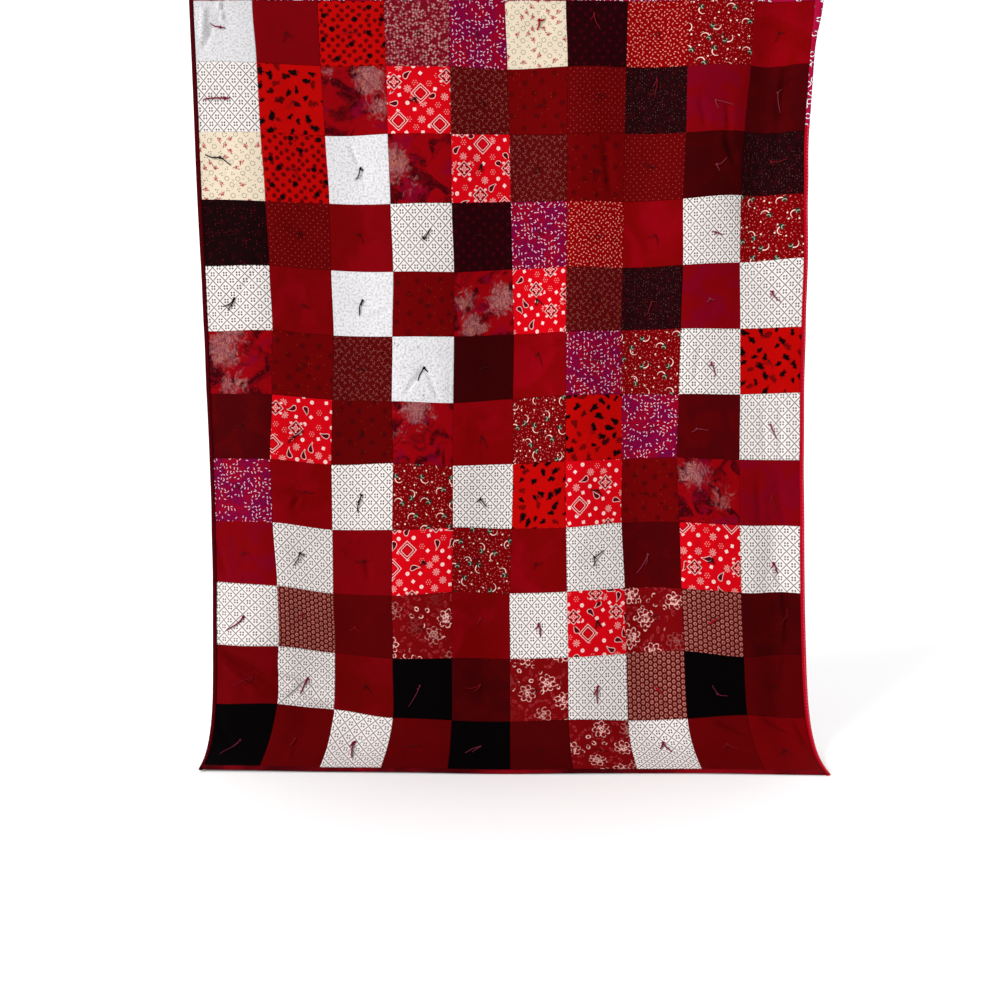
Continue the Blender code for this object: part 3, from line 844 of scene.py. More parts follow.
class Sketch:
    """Draws one fabric's nodes. Coordinates and sizes are in millimetres of cloth."""

    def __init__(self, name: str) -> None:
        """Start an empty material.

        Args:
            name: The fabric's name.
        """
        self.material = bpy.data.materials.new(name)
        self.material.use_nodes = True
        self.tree = self.material.node_tree
        self.tree.nodes.clear()

    def add(self, kind: str, inputs: dict[Any, Any], **settings: Any) -> bpy.types.Node:
        """Add a node with its settings, and link or set its inputs.

        Args:
            kind: The node's type, without the ShaderNode in front.
            inputs: Values or fields by socket name or number.
            settings: The node's own properties.

        Returns:
            The node.
        """
        node = self.tree.nodes.new(f"ShaderNode{kind}")
        for key, value in settings.items():
            setattr(node, key, value)
        for key, value in inputs.items():
            if isinstance(value, Field):
                self.tree.links.new(value.socket, node.inputs[key])
            else:
                node.inputs[key].default_value = value
        return node

    def field(self, node: bpy.types.Node, output: Any = 0) -> Field:
        """One of a node's outputs as a field."""
        return Field(self, node.outputs[output])

    def math(self, name: str, *values: Number) -> Field:
        """A Math node's result."""
        return self.field(self.add("Math", dict(enumerate(values)), operation=name))

    def ramp(self, value: Field, low: float, high: float) -> Field:
        """Ease from 0 to 1 while value goes from low to high."""
        inputs = {"Value": value, "From Min": low, "From Max": high}
        return self.field(self.add("MapRange", inputs, interpolation_type="SMOOTHSTEP"))

    def pair(self, x: Number, y: Number) -> Field:
        """A vector from two numbers."""
        return self.field(self.add("CombineXYZ", {0: x, 1: y}))

    def split(self, vector: Field) -> tuple[Field, Field, Field]:
        """A vector's three numbers."""
        node = self.add("SeparateXYZ", {0: vector})
        return self.field(node, 0), self.field(node, 1), self.field(node, 2)

    def length(self, x: Number, y: Number) -> Field:
        """Distance from the middle."""
        node = self.add("VectorMath", {0: self.pair(x, y)}, operation="LENGTH")
        return self.field(node, "Value")

    def turned(self, x: Number, y: Number, turns: Number) -> tuple[Field, Field]:
        """The same place seen after turning the pattern by a share of a full turn.

        Args:
            x: Millimetres across the cloth.
            y: Millimetres down the cloth.
            turns: The share of a turn.

        Returns:
            The turned place.
        """
        inputs = {"Vector": self.pair(x, y), "Angle": turns * math.tau}
        node = self.add("VectorRotate", inputs, rotation_type="Z_AXIS")
        right, below, _ = self.split(self.field(node))
        return right, below

    def cloth(self) -> tuple[Field, Field]:
        """Millimetres across and down the flat cloth, from the piece's own map.

        Returns:
            Across and down.
        """
        node = self.add("UVMap", {}, uv_map="cloth")
        x, y, _ = self.split(self.field(node))
        return x / MM, y / MM

    def attribute(self, name: str) -> Field:
        """A number that the mesh carries."""
        node = self.add("Attribute", {}, attribute_name=name, attribute_type="GEOMETRY")
        return self.field(node, "Fac")

    def spots(self, x: Field, y: Field, pitch: float, jitter: float, seed: float = 0.0) -> Spot:
        """Scatter motifs on a grid.

        Args:
            x: Millimetres across.
            y: Millimetres down.
            pitch: Millimetres from one motif to the next.
            jitter: 0 for an even grid, to 1 for a loose one.
            seed: Moves the grid, so that two of them differ.

        Returns:
            The place as seen from the nearest motif's middle, and three random numbers of it.
        """
        at = self.pair(x / pitch + seed, y / pitch + seed * 1.7)
        inputs = {"Vector": at, "Scale": 1.0, "Randomness": jitter}
        cell = self.add("TexVoronoi", inputs, voronoi_dimensions="2D")
        away = self.add("VectorMath", {0: at, 1: self.field(cell, "Position")}, operation="SUBTRACT")
        right, below, _ = self.split(self.field(away))
        pick, turn, size = self.split(self.field(cell, "Color"))
        return Spot(right * pitch, below * pitch, pick, turn, size)

    def staggered(self, x: Field, y: Field, pitch: float, jitter: float, seed: float = 0.0) -> Spot:
        """Scatter motifs on a grid whose rows step by half, which is a grid turned by 45 degrees.

        Args:
            x: Millimetres across the cloth.
            y: Millimetres down the cloth.
            pitch: Millimetres from one motif to the next.
            jitter: 0 for an even grid, to 1 for a loose one.
            seed: Moves the grid.

        Returns:
            The nearest motif.
        """
        root = math.sqrt(0.5)
        spot = self.spots((x + y) * root, (y - x) * root, pitch, jitter, seed)
        return spot._replace(x=(spot.x - spot.y) * root, y=(spot.x + spot.y) * root)

    def grain(self, x: Field, y: Field, size: float, detail: float = 2.0, bend: float = 0.0) -> Field:
        """Soft noise with blobs of about that many millimetres, from 0 to 1.

        Args:
            x: Millimetres across the cloth.
            y: Millimetres down the cloth.
            size: Millimetres of a blob.
            detail: How many finer layers it has.
            bend: How far it is warped.

        Returns:
            The noise.
        """
        at = self.pair(x / size, y / size)
        inputs = {"Vector": at, "Scale": 1.0, "Detail": detail, "Distortion": bend}
        return self.field(self.add("TexNoise", inputs, noise_dimensions="2D"))

    def inside(self, distance: Field, soft: float = 0.7) -> Field:
        """One inside a shape whose edge is at distance nought, fading over soft millimetres."""
        return self.ramp(distance, soft / 2.0, -soft / 2.0)

    def ellipse(self, x: Field, y: Field, wide: float, tall: float) -> Field:
        """Distance to an ellipse of those half sizes."""
        return (self.length(x / wide, y / tall) - 1.0) * min(wide, tall)

    def dash(self, x: Field, y: Field, half_length: float, radius: float) -> Field:
        """Distance to a short rounded line along x."""
        return self.length((abs(x) - half_length).most(0.0), y) - radius

    def ring(self, distance: Field, half_width: float) -> Field:
        """Distance to a line drawn along a shape's edge."""
        return abs(distance) - half_width

    def colour(self, value: Union[Field, str]) -> Union[Field, tuple]:
        """A colour given as a field or as an sRGB hex code."""
        return linear(value) if isinstance(value, str) else value

    def lay(self, ground: Union[Field, str], share: Number, ink: Union[Field, str]) -> Field:
        """Print one colour over another where share is one.

        Args:
            ground: The colour beneath.
            share: How much of the ink covers it.
            ink: The colour on top.

        Returns:
            The printed colour.
        """
        inputs = {0: share, 6: self.colour(ground), 7: self.colour(ink)}
        return self.field(self.add("Mix", inputs, data_type="RGBA"), 2)

    def shade(self, ground: Field, strength: Number) -> Field:
        """A colour made darker or lighter by a factor."""
        node = self.add("VectorMath", {0: ground, "Scale": strength}, operation="SCALE")
        return self.field(node)

    def finish(self, sockets: dict[str, Any]) -> bpy.types.Material:
        """End the sketch in a Principled shader.

        Args:
            sockets: The shader's values or fields by socket name.

        Returns:
            The finished material.
        """
        shader = self.add("BsdfPrincipled", sockets)
        self.add("OutputMaterial", {"Surface": self.field(shader)})
        return self.material


@dataclass(frozen=True)
class Cotton:
    """Plain woven quilting cotton: matte, with a fine even weave and a little fuzz."""

    name: str
    ground: str
    roughness: float = 0.88
    sheen: float = 0.05
    thread: float = 1.6
    weave_depth: float = 0.00007
    mottle: float = 0.10

    def print_on(self, s: Sketch, x: Field, y: Field) -> Union[Field, str]:
        """The dyed ground, before any print."""
        blotch = s.grain(x, y, 38.0, 3.0)
        return s.lay(self.ground, (blotch - 0.5) * (2.0 * self.mottle) + self.mottle, "200004")

    def build(self) -> bpy.types.Material:
        """Draw the whole material.

        Returns:
            The finished material.
        """
        s = Sketch(self.name)
        x, y = s.cloth()
        printed = self.print_on(s, x, y)
        if not isinstance(printed, Field):
            printed = s.lay(printed, 0.0, printed)
        toned = s.shade(printed, s.attribute("tone"))
        warp = s.math("SINE", x * (math.tau / self.thread))
        weft = s.math("SINE", y * (math.tau / self.thread))
        slub = s.grain(x, y, 2.4, 2.0)
        height = warp * weft * 0.5 + slub
        bump = s.add("Bump", {"Height": height, "Distance": self.weave_depth, "Strength": 1.0})
        return s.finish(
            {
                "Base Color": toned,
                "Roughness": self.roughness,
                "Sheen Weight": self.sheen,
                "Sheen Roughness": 0.5,
                "Sheen Tint": linear(self.ground),
                "Specular IOR Level": 0.03,
                "Normal": s.field(bump),
            }
        )


@dataclass(frozen=True)
class MottledCotton(Cotton):
    """Hand-dyed cotton, whose second shade drifts through the first."""

    second: str = "7E0030"
    drift: float = 60.0

    def print_on(self, s: Sketch, x: Field, y: Field) -> Field:
        """Two shades in soft clouds."""
        cloud = s.grain(x, y, self.drift, 3.0, 0.6)
        return s.lay(self.ground, cloud.ramp(0.38, 0.68), self.second)


@dataclass(frozen=True)
class SpeckledCotton(Cotton):
    """White cotton printed with a fine grey speckle, which reads as a slight tooth."""

    fleck: str = "8E908C"

    def print_on(self, s: Sketch, x: Field, y: Field) -> Field:
        """Flecks, drawn a little coarser than they are, because the real ones are too fine to show."""
        fine = s.grain(x, y, 5.0, 2.0)
        return s.lay(self.ground, fine.ramp(0.40, 0.72) * 0.5, self.fleck)


@dataclass(frozen=True)
class LatticeCotton(Cotton):
    """White cotton with a thin diamond lattice and four dots in each diamond."""

    ink: str = "1A1010"
    wide: float = 29.0
    tall: float = 30.8
    line: float = 1.0
    dot_wide: float = 1.95
    dot_tall: float = 2.15
    dot_step: float = 2.95
    gap: float = 1.8

    def print_on(self, s: Sketch, x: Field, y: Field) -> Field:
        """Lines along the diamonds' sides, one way broken where it meets the other, and the dots.

        Args:
            s: The sketch to draw in.
            x: Millimetres across the cloth.
            y: Millimetres down the cloth.

        Returns:
            The printed colour.
        """
        one = s.math("FRACT", x / self.wide + y / self.tall) - 0.5
        two = s.math("FRACT", x / self.wide - y / self.tall) - 0.5
        slant = self.wide * self.tall / math.hypot(self.wide, self.tall)
        near_one, near_two = (0.5 - abs(one)) * slant, (0.5 - abs(two)) * slant
        sides = (near_one - self.line).most(self.gap - near_two).least(near_two - self.line)
        local_x = abs((one + two) * (self.wide / 2.0)) - self.dot_step
        local_y = abs((one - two) * (self.tall / 2.0)) - self.dot_step
        dots = s.ellipse(local_x, local_y, self.dot_wide, self.dot_tall)
        wear = s.grain(x, y, 5.0, 1.0) * 0.3 + 0.78
        return s.lay(self.ground, s.inside(sides.least(dots), 0.9) * wear, self.ink)


@dataclass(frozen=True)
class SprigCotton(Cotton):
    """Cream cotton with small roses, dotted wreaths and loose sprigs."""

    rose: str = "B0484A"
    heart: str = "741A1E"
    leaf: str = "6E7258"
    pitch: float = 17.4

    def print_on(self, s: Sketch, x: Field, y: Field) -> Field:
        """One of three motifs at each place of a loose grid.

        Args:
            s: The sketch to draw in.
            x: Millimetres across the cloth.
            y: Millimetres down the cloth.

        Returns:
            The printed colour.
        """
        spot = s.staggered(x, y, self.pitch, 0.22)
        right, below = s.turned(spot.x, spot.y, spot.turn)
        angle = s.math("ARCTAN2", below, right)
        away = s.length(right, below)
        wreath = s.ring(away - 4.9, 0.95).most(-0.55 - s.math("COSINE", angle * 7.0))
        sprig = s.length(abs(right) - 3.2, below - 1.4).least(s.length(right, below + 2.6)) - 1.6
        petals = away - 4.9 - s.math("COSINE", angle * 5.0) * 0.9
        leaves = s.ellipse(abs(right) - 6.0, below + 2.2, 2.6, 1.3)
        is_rose, is_wreath = spot.pick.under(0.34), spot.pick.band(0.34, 0.68)
        greens = s.inside(wreath) * is_wreath * 0.9 + s.inside(leaves) * is_rose
        ground = s.lay(self.ground, greens + s.inside(sprig) * spot.pick.over(0.68) * 0.85, self.leaf)
        fine = s.spots(x, y, 9.5, 1.0, 8.2)
        crumbs = s.inside(s.length(fine.x, fine.y) - 0.9) * fine.pick.under(0.4) * s.ramp(away, 7.0, 8.0)
        ground = s.lay(ground, crumbs * 0.8, self.leaf)
        petal_lines = s.grain(x, y, 3.4, 1.0).ramp(0.38, 0.58) * 0.7 + 0.3
        ground = s.lay(ground, s.inside(petals, 2.0) * is_rose * petal_lines, self.rose)
        return s.lay(ground, s.inside(s.length(right - 1.2, below - 1.2) - 1.7, 1.2) * is_rose, self.heart)


@dataclass(frozen=True)
class SpottedCotton(Cotton):
    """Red cotton with soft dark spots, and larger black ones among them."""

    spot_ink: str = "3A0003"
    big_ink: str = "0C0204"
    pitch: float = 16.5
    radius: float = 4.9
    big_pitch: float = 46.0
    big_radius: float = 6.2

    def print_on(self, s: Sketch, x: Field, y: Field) -> Field:
        """Small spots, then the large ones with ragged edges.

        Args:
            s: The sketch to draw in.
            x: Millimetres across the cloth.
            y: Millimetres down the cloth.

        Returns:
            The printed colour.
        """
        ragged = (s.grain(x, y, 3.2, 1.0) - 0.5) * 5.0
        small = s.staggered(x, y, self.pitch, 0.38)
        shape = s.length(small.x, small.y) - self.radius + ragged
        ground = s.lay(self.ground, s.inside(shape, 2.6) * 0.85, self.spot_ink)
        big = s.staggered(x, y, self.big_pitch, 0.5, 3.3)
        shape = s.length(big.x, big.y) - self.big_radius + ragged * 1.3
        return s.lay(ground, s.inside(shape, 2.4), self.big_ink)


@dataclass(frozen=True)
class LeafCotton(Cotton):
    """Bright red cotton with scattered black leaves, some of them paler."""

    ink: str = "0A0203"
    pitch: float = 28.0

    def print_on(self, s: Sketch, x: Field, y: Field) -> Field:
        """Pointed shapes at any angle, with lobed soft edges.

        Args:
            s: The sketch to draw in.
            x: Millimetres across the cloth.
            y: Millimetres down the cloth.

        Returns:
            The printed colour.
        """
        spot = s.staggered(x, y, self.pitch, 0.62)
        right, below = s.turned(spot.x, spot.y, spot.turn)
        angle = s.math("ARCTAN2", below, right)
        lobes = s.math("COSINE", angle * 3.0) * 0.8 + (s.grain(x, y, 6.0, 1.0) - 0.5) * 8.0
        size = spot.size * 0.5 + 0.7
        shape = s.length(right / 10.0 / size, below / 5.8 / size) * 6.0 - 6.0 + lobes
        faint = spot.pick.ramp(0.0, 0.35) * 0.35 + 0.65
        return s.lay(self.ground, s.inside(shape, 3.6) * faint, self.ink)


@dataclass(frozen=True)
class TinyFloralCotton(Cotton):
    """Burgundy cotton covered with small pink and beige petals."""

    pink: str = "A85A60"
    beige: str = "BA9088"
    dark: str = "4E0614"

    def print_on(self, s: Sketch, x: Field, y: Field) -> Field:
        """Two sizes of petals over dark flecks.

        Args:
            s: The sketch to draw in.
            x: Millimetres across the cloth.
            y: Millimetres down the cloth.

        Returns:
            The printed colour.
        """
        dense = s.grain(x, y, 30.0, 1.0).ramp(0.25, 0.6) * 0.4 + 0.6
        flecks = s.spots(x, y, 6.2, 1.0, 5.1)
        ground = s.lay(self.ground, s.inside(s.length(flecks.x, flecks.y) - 2.2, 1.4) * 0.7, self.dark)
        for pitch, seed, ink in ((8.2, 0.0, self.pink), (7.0, 2.7, self.beige)):
            spot = s.spots(x, y, pitch, 1.0, seed)
            angle = s.math("ARCTAN2", spot.y, spot.x)
            shape = s.length(spot.x, spot.y) - 1.7 - s.math("COSINE", angle * 4.0) * 1.0
            ground = s.lay(ground, s.inside(shape, 2.0) * spot.pick.under(0.6) * dense, ink)
        return ground


@dataclass(frozen=True)
class ConfettiCotton(Cotton):
    """Crimson to purple cotton with white, pink and navy dashes thrown over it."""

    second: str = "720030"
    light: str = "DEB6C6"
    navy: str = "180A3C"

    def print_on(self, s: Sketch, x: Field, y: Field) -> Field:
        """Navy dashes under pale ones, on a ground that drifts to purple.

        Args:
            s: The sketch to draw in.
            x: Millimetres across the cloth.
            y: Millimetres down the cloth.

        Returns:
            The printed colour.
        """
        drift = s.grain(x, y, 45.0, 2.0)
        ground = s.lay(self.ground, drift.ramp(0.36, 0.62), self.second)
        for pitch, seed, ink, share in ((7.6, 0.0, self.navy, 0.75), (8.6, 3.9, self.light, 0.6)):
            spot = s.spots(x, y, pitch, 0.8, seed)
            right, below = s.turned(spot.x, spot.y, spot.turn)
            shape = s.dash(right, below, 2.0, 0.8)
            ground = s.lay(ground, s.inside(shape, 0.9) * spot.pick.under(share), ink)
        return ground


@dataclass(frozen=True)
class SeedCotton(Cotton):
    """Red cotton with close pale seeds, each at its own angle."""

    ink: str = "E08A7C"
    pitch: float = 8.6
    half_length: float = 1.3
    radius: float = 0.9
    jitter: float = 0.55
    amount: float = 1.0

    def print_on(self, s: Sketch, x: Field, y: Field) -> Field:
        """One seed at each place.

        Args:
            s: The sketch to draw in.
            x: Millimetres across the cloth.
            y: Millimetres down the cloth.

        Returns:
            The printed colour.
        """
        spot = s.staggered(x, y, self.pitch, self.jitter)
        right, below = s.turned(spot.x, spot.y, spot.turn)
        shape = s.dash(right, below, self.half_length, self.radius)
        return s.lay(self.ground, s.inside(shape, 0.9) * self.amount, self.ink)


@dataclass(frozen=True)
class PepperCotton(Cotton):
    """Dark red cotton with curled green-headed peppers among pale dots."""

    head: str = "20261A"
    head_light: str = "B4B8A0"
    tail: str = "ECC8BC"
    dot: str = "CC6664"
    star: str = "F2DCCE"
    pitch: float = 45.0

    def print_on(self, s: Sketch, x: Field, y: Field) -> Field:
        """Dots in three sizes, then the peppers on bare ground of their own.

        Args:
            s: The sketch to draw in.
            x: Millimetres across the cloth.
            y: Millimetres down the cloth.

        Returns:
            The printed colour.
        """
        pepper = s.staggered(x, y, self.pitch, 0.3)
        right, below = s.turned(pepper.x, pepper.y, pepper.turn)
        turn = s.math("ARCTAN2", below, right) / math.tau
        away = s.length(right, below)
        width = turn.ramp(-0.46, 0.04) * 0.8 + 0.45
        tail = (abs(away - 9.6) - width).most((abs(turn + 0.16) - 0.25) * 50.0)
        calyx = s.math("ARCTAN2", below - 5.0, right - 8.4)
        head = s.length((right - 8.4) * 0.8, below - 5.0) - 5.4 - s.math("COSINE", calyx * 3.0) * 0.6
        vein = s.ring(s.length(right - 4.6, below - 7.4) - 5.0, 0.8).most(head)
        clear = tail.least(head) - 1.6
        fine = s.spots(x, y, 8.0, 1.0)
        dots = s.length(fine.x, fine.y) - 0.5 - fine.size * 0.9
        ground = s.lay(self.ground, s.inside(dots, 0.9) * s.ramp(clear, 0.0, 1.0), self.dot)
        large = s.spots(x, y, 28.0, 0.8, 6.1)
        angle = s.math("ARCTAN2", large.y, large.x)
        stars = s.length(large.x, large.y) - 1.7 - s.math("COSINE", angle * 5.0) * 0.6
        ground = s.lay(ground, s.inside(stars, 0.9) * s.ramp(clear, 0.0, 1.0), self.star)
        ground = s.lay(ground, s.inside(tail, 0.9), self.tail)
        ground = s.lay(ground, s.inside(head, 0.9), self.head)
        return s.lay(ground, s.inside(vein, 1.6) * 0.8, self.head_light)


@dataclass(frozen=True)
class BatikCotton(Cotton):
    """Batik: red dye broken by mauve, tan and magenta clouds with feathered edges."""

    maroon: str = "380005"
    mauve: str = "884A52"
    sand: str = "AC6C5C"
    magenta: str = "700020"
    ochre: str = "94503A"

    def print_on(self, s: Sketch, x: Field, y: Field) -> Field:
        """Clouds laid one over the other. The cloud attribute says where the pale ones lie.

        Args:
            s: The sketch to draw in.
            x: Millimetres across the cloth.
            y: Millimetres down the cloth.

        Returns:
            The printed colour.
        """
        cloud = s.attribute("cloud")
        broad = s.grain(x, y, 58.0, 6.0, 1.2)
        feather = s.grain(x, y * 0.6, 16.0, 6.0, 1.6)
        rough = s.grain(x + 300.0, y, 26.0, 8.0, 0.9)
        ground = s.lay(self.ground, broad.ramp(0.56, 0.36), self.maroon)
        ground = s.lay(ground, s.grain(x, y + 700.0, 52.0, 3.0).ramp(0.56, 0.72) * 0.8, self.magenta)
        pale = cloud * 0.42 + feather * 0.42 + rough * 0.36
        ground = s.lay(ground, pale.ramp(0.56, 0.76) * 0.9, self.mauve)
        streak = s.grain(x, y * 0.7, 7.0, 4.0, 1.8)
        warm = s.grain(x + 90.0, y + 400.0, 30.0, 3.0, 0.8)
        ground = s.lay(ground, streak.ramp(0.47, 0.66) * pale.ramp(0.60, 0.76) * 0.75, self.sand)
        ground = s.lay(ground, streak.ramp(0.50, 0.34) * pale.ramp(0.58, 0.70) * 0.55, self.maroon)
        ground = s.lay(ground, warm.ramp(0.57, 0.68) * pale.ramp(0.58, 0.70) * 0.35, self.ochre)
        holes = s.grain(x + 40.0, y, 9.0, 3.0, 1.0)
        return s.lay(ground, holes.ramp(0.56, 0.66) * pale.ramp(0.8, 0.6) * 0.7, self.ground)


@dataclass(frozen=True)
class BandanaCotton(Cotton):
    """Bandana cotton: white squares, dots, snowflakes, paisleys and diamonds on bright red."""

    ink: str = "E8C4C0"
    dark: str = "4A0208"
    maroon: str = "84000C"
    pitch: float = 24.0
    big_pitch: float = 72.0

    def small_motifs(self, s: Sketch, x: Field, y: Field) -> tuple[Field, Field]:
        """The small motifs.

        Args:
            s: The sketch.
            x: Millimetres across.
            y: Millimetres down.

        Returns:
            Where white ink lies, and where the dark ink does.
        """
        spot = s.staggered(x, y, self.pitch, 0.32)
        away = s.length(spot.x, spot.y)
        angle = s.math("ARCTAN2", spot.y, spot.x)
        square = away - 4.2 + s.math("COSINE", angle * 4.0 + spot.turn * 6.0) * 0.7
        dot = (away - 4.7).most(0.9 - away)
        eighths = s.math("COSINE", angle * 8.0)
        flake = s.ring(away - 6.4 - eighths * 1.8, 0.5)
        flake = flake.least(s.ring(away - 2.6, 0.5)).least((away - 8.8).most(0.93 - eighths))
        right, below = s.turned(spot.x, spot.y, spot.turn)
        bent = below + right * right * 0.022 - 1.0
        body = s.length((right - 4.0).most(0.0), bent) - s.ramp(right, -15.0, 5.0) * 5.2
        leaf = s.ring(body - 0.6, 0.65)
        sprinkle = (abs(away - 5.4) - 1.0).most(0.4 - s.math("COSINE", angle * 6.0)).least(away - 1.2)
        white = s.inside(square) * spot.pick.under(0.30) + s.inside(dot) * spot.pick.band(0.30, 0.52)
        white = white + s.inside(flake) * spot.pick.band(0.52, 0.72) * 0.85
        white = white + s.inside(leaf) * spot.pick.band(0.72, 0.86) * 0.9
        white = white + s.inside(sprinkle) * spot.pick.over(0.86) * 0.5
        return white, s.inside(body) * spot.pick.band(0.72, 0.86)

    def print_on(self, s: Sketch, x: Field, y: Field) -> Field:
        """Large diamonds of two kinds, with the small motifs in the room that they leave.

        Args:
            s: The sketch to draw in.
            x: Millimetres across the cloth.
            y: Millimetres down the cloth.

        Returns:
            The printed colour.
        """
        big = s.staggered(x, y, self.big_pitch, 0.42, 2.3)
        across, along = abs(big.x), abs(big.y)
        away = s.length(big.x, big.y)
        angle = s.math("ARCTAN2", big.y, big.x)
        scallop = abs(s.math("SINE", angle * 8.0)) * 0.9
        diamond = (across + along - 22.5).most(away - 21.0) * 0.75
        plain = s.ring(diamond + scallop, 0.95).least(s.ring(diamond + 5.4, 0.8))
        plain_fill = s.ring(diamond + 3.0, 0.9).least(s.ring(diamond + 8.4, 0.9))
        star = (across + along - 17.5) * 0.75
        ornate = s.ring(star, 0.8).least(s.ring(away - 4.6, 0.7)).least(away - 1.6)
        ornate = ornate.least(s.ellipse(across - 12.0, along - 12.0, 3.6, 2.8))
        ornate = ornate.least((away - 10.5).most(0.7 - s.math("COSINE", angle * 4.0)).most(6.4 - away))
        is_plain = big.pick.band(0.2, 0.6)
        is_ornate = big.pick.over(0.6)
        free = s.math("MAXIMUM", away.ramp(20.5, 23.5), big.pick.under(0.2))
        white, dark = self.small_motifs(s, x, y)
        fade = s.grain(x, y, 50.0, 2.0)
        ground = s.lay(self.ground, fade.ramp(0.4, 0.7) * 0.3, "C80410")
        ground = s.lay(ground, dark * free, self.dark)
        fill = s.inside(plain_fill) * is_plain + s.inside(star.most(7.0 - away)) * is_ornate
        ground = s.lay(ground, fill, self.maroon)
        lines = s.inside(plain) * is_plain + s.inside(ornate) * is_ornate
        ground = s.lay(ground, lines * 0.8, self.ink)
        return s.lay(ground, white * free, self.ink)


@dataclass(frozen=True)
class ForkCotton(Cotton):
    """Brown-red cotton with small three-armed tan sprigs."""

    ink: str = "8E5044"
    pitch: float = 12.0
    arm: float = 3.2
    line: float = 0.4

    def print_on(self, s: Sketch, x: Field, y: Field) -> Field:
        """Each sprig is one arm, seen three times round its middle.

        Args:
            s: The sketch to draw in.
            x: Millimetres across the cloth.
            y: Millimetres down the cloth.

        Returns:
            The printed colour.
        """
        spot = s.staggered(x, y, self.pitch, 0.5)
        right, below = s.turned(spot.x, spot.y, spot.turn)
        angle = s.math("ARCTAN2", abs(below), right)
        folded = angle - angle.over(math.pi / 3.0) * (math.tau / 3.0)
        away = s.length(right, below)
        out = away * s.math("COSINE", folded)
        aside = away * s.math("SINE", folded)
        arms = s.length((out - self.arm).most(0.0), aside) - self.line
        tip = s.length(out - self.arm, aside) - 0.9
        return s.lay(self.ground, s.inside(arms.least(tip), 0.8) * 0.75, self.ink)


@dataclass(frozen=True)
class BlotchCotton(Cotton):
    """Dark cotton with soft rounder blotches, and fine specks over them."""

    blotch: str = "3A0204"
    pitch: float = 36.0
    radius: float = 6.4
    strength: float = 0.6
    speck: str = "A04018"
    speck_pitch: float = 7.5
    speck_share: float = 0.05
    speck_radius: float = 0.75
    second_speck: str = "8A1420"

    def print_on(self, s: Sketch, x: Field, y: Field) -> Field:
        """Blotches, then the specks.

        Args:
            s: The sketch to draw in.
            x: Millimetres across the cloth.
            y: Millimetres down the cloth.

        Returns:
            The printed colour.
        """
        spot = s.staggered(x, y, self.pitch, 0.35)
        ragged = (s.grain(x, y, 5.0, 1.0) - 0.5) * 5.0
        shape = s.length(spot.x, spot.y) - self.radius + ragged
        ground = s.lay(self.ground, s.inside(shape, 5.0) * self.strength, self.blotch)
        fine = s.spots(x, y, self.speck_pitch, 1.0, 4.2)
        dots = s.inside(s.length(fine.x, fine.y) - self.speck_radius, 0.8)
        ground = s.lay(ground, dots * fine.pick.under(self.speck_share), self.speck)
        red_dots = dots * fine.pick.over(1.0 - self.speck_share)
        return s.lay(ground, red_dots * 0.8, self.second_speck)


@dataclass(frozen=True)
class RingCotton(Cotton):
    """Brown-maroon cotton packed with small tan rings."""

    ink: str = "B87066"
    heart: str = "480C0A"
    pitch: float = 12.6
    radius: float = 2.8
    line: float = 1.35

    def print_on(self, s: Sketch, x: Field, y: Field) -> Field:
        """Rings on two grids that step by half, which packs them in columns like honeycomb.

        Args:
            s: The sketch to draw in.
            x: Millimetres across the cloth.
            y: Millimetres down the cloth.

        Returns:
            The printed colour.
        """
        wide = self.pitch * math.sqrt(3.0)
        away, hole = None, None
        for step in (0.0, 0.5):
            right = (s.math("FRACT", x / wide + step) - 0.5) * wide
            below = (s.math("FRACT", y / self.pitch + step) - 0.5) * self.pitch * 0.94
            one, other = s.length(right, below), s.length(right - 0.6, below - 0.9)
            away = one if away is None else away.least(one)
            hole = other if hole is None else hole.least(other)
        wear = s.grain(x, y, 10.0, 2.0).ramp(0.2, 0.7) * 0.45 + 0.45
        discs = s.inside(s.ring(away - self.radius, self.line), 1.4)
        ground = s.lay(self.ground, discs * wear, self.ink)
        return s.lay(ground, s.inside(hole - 1.5, 1.3), self.heart)


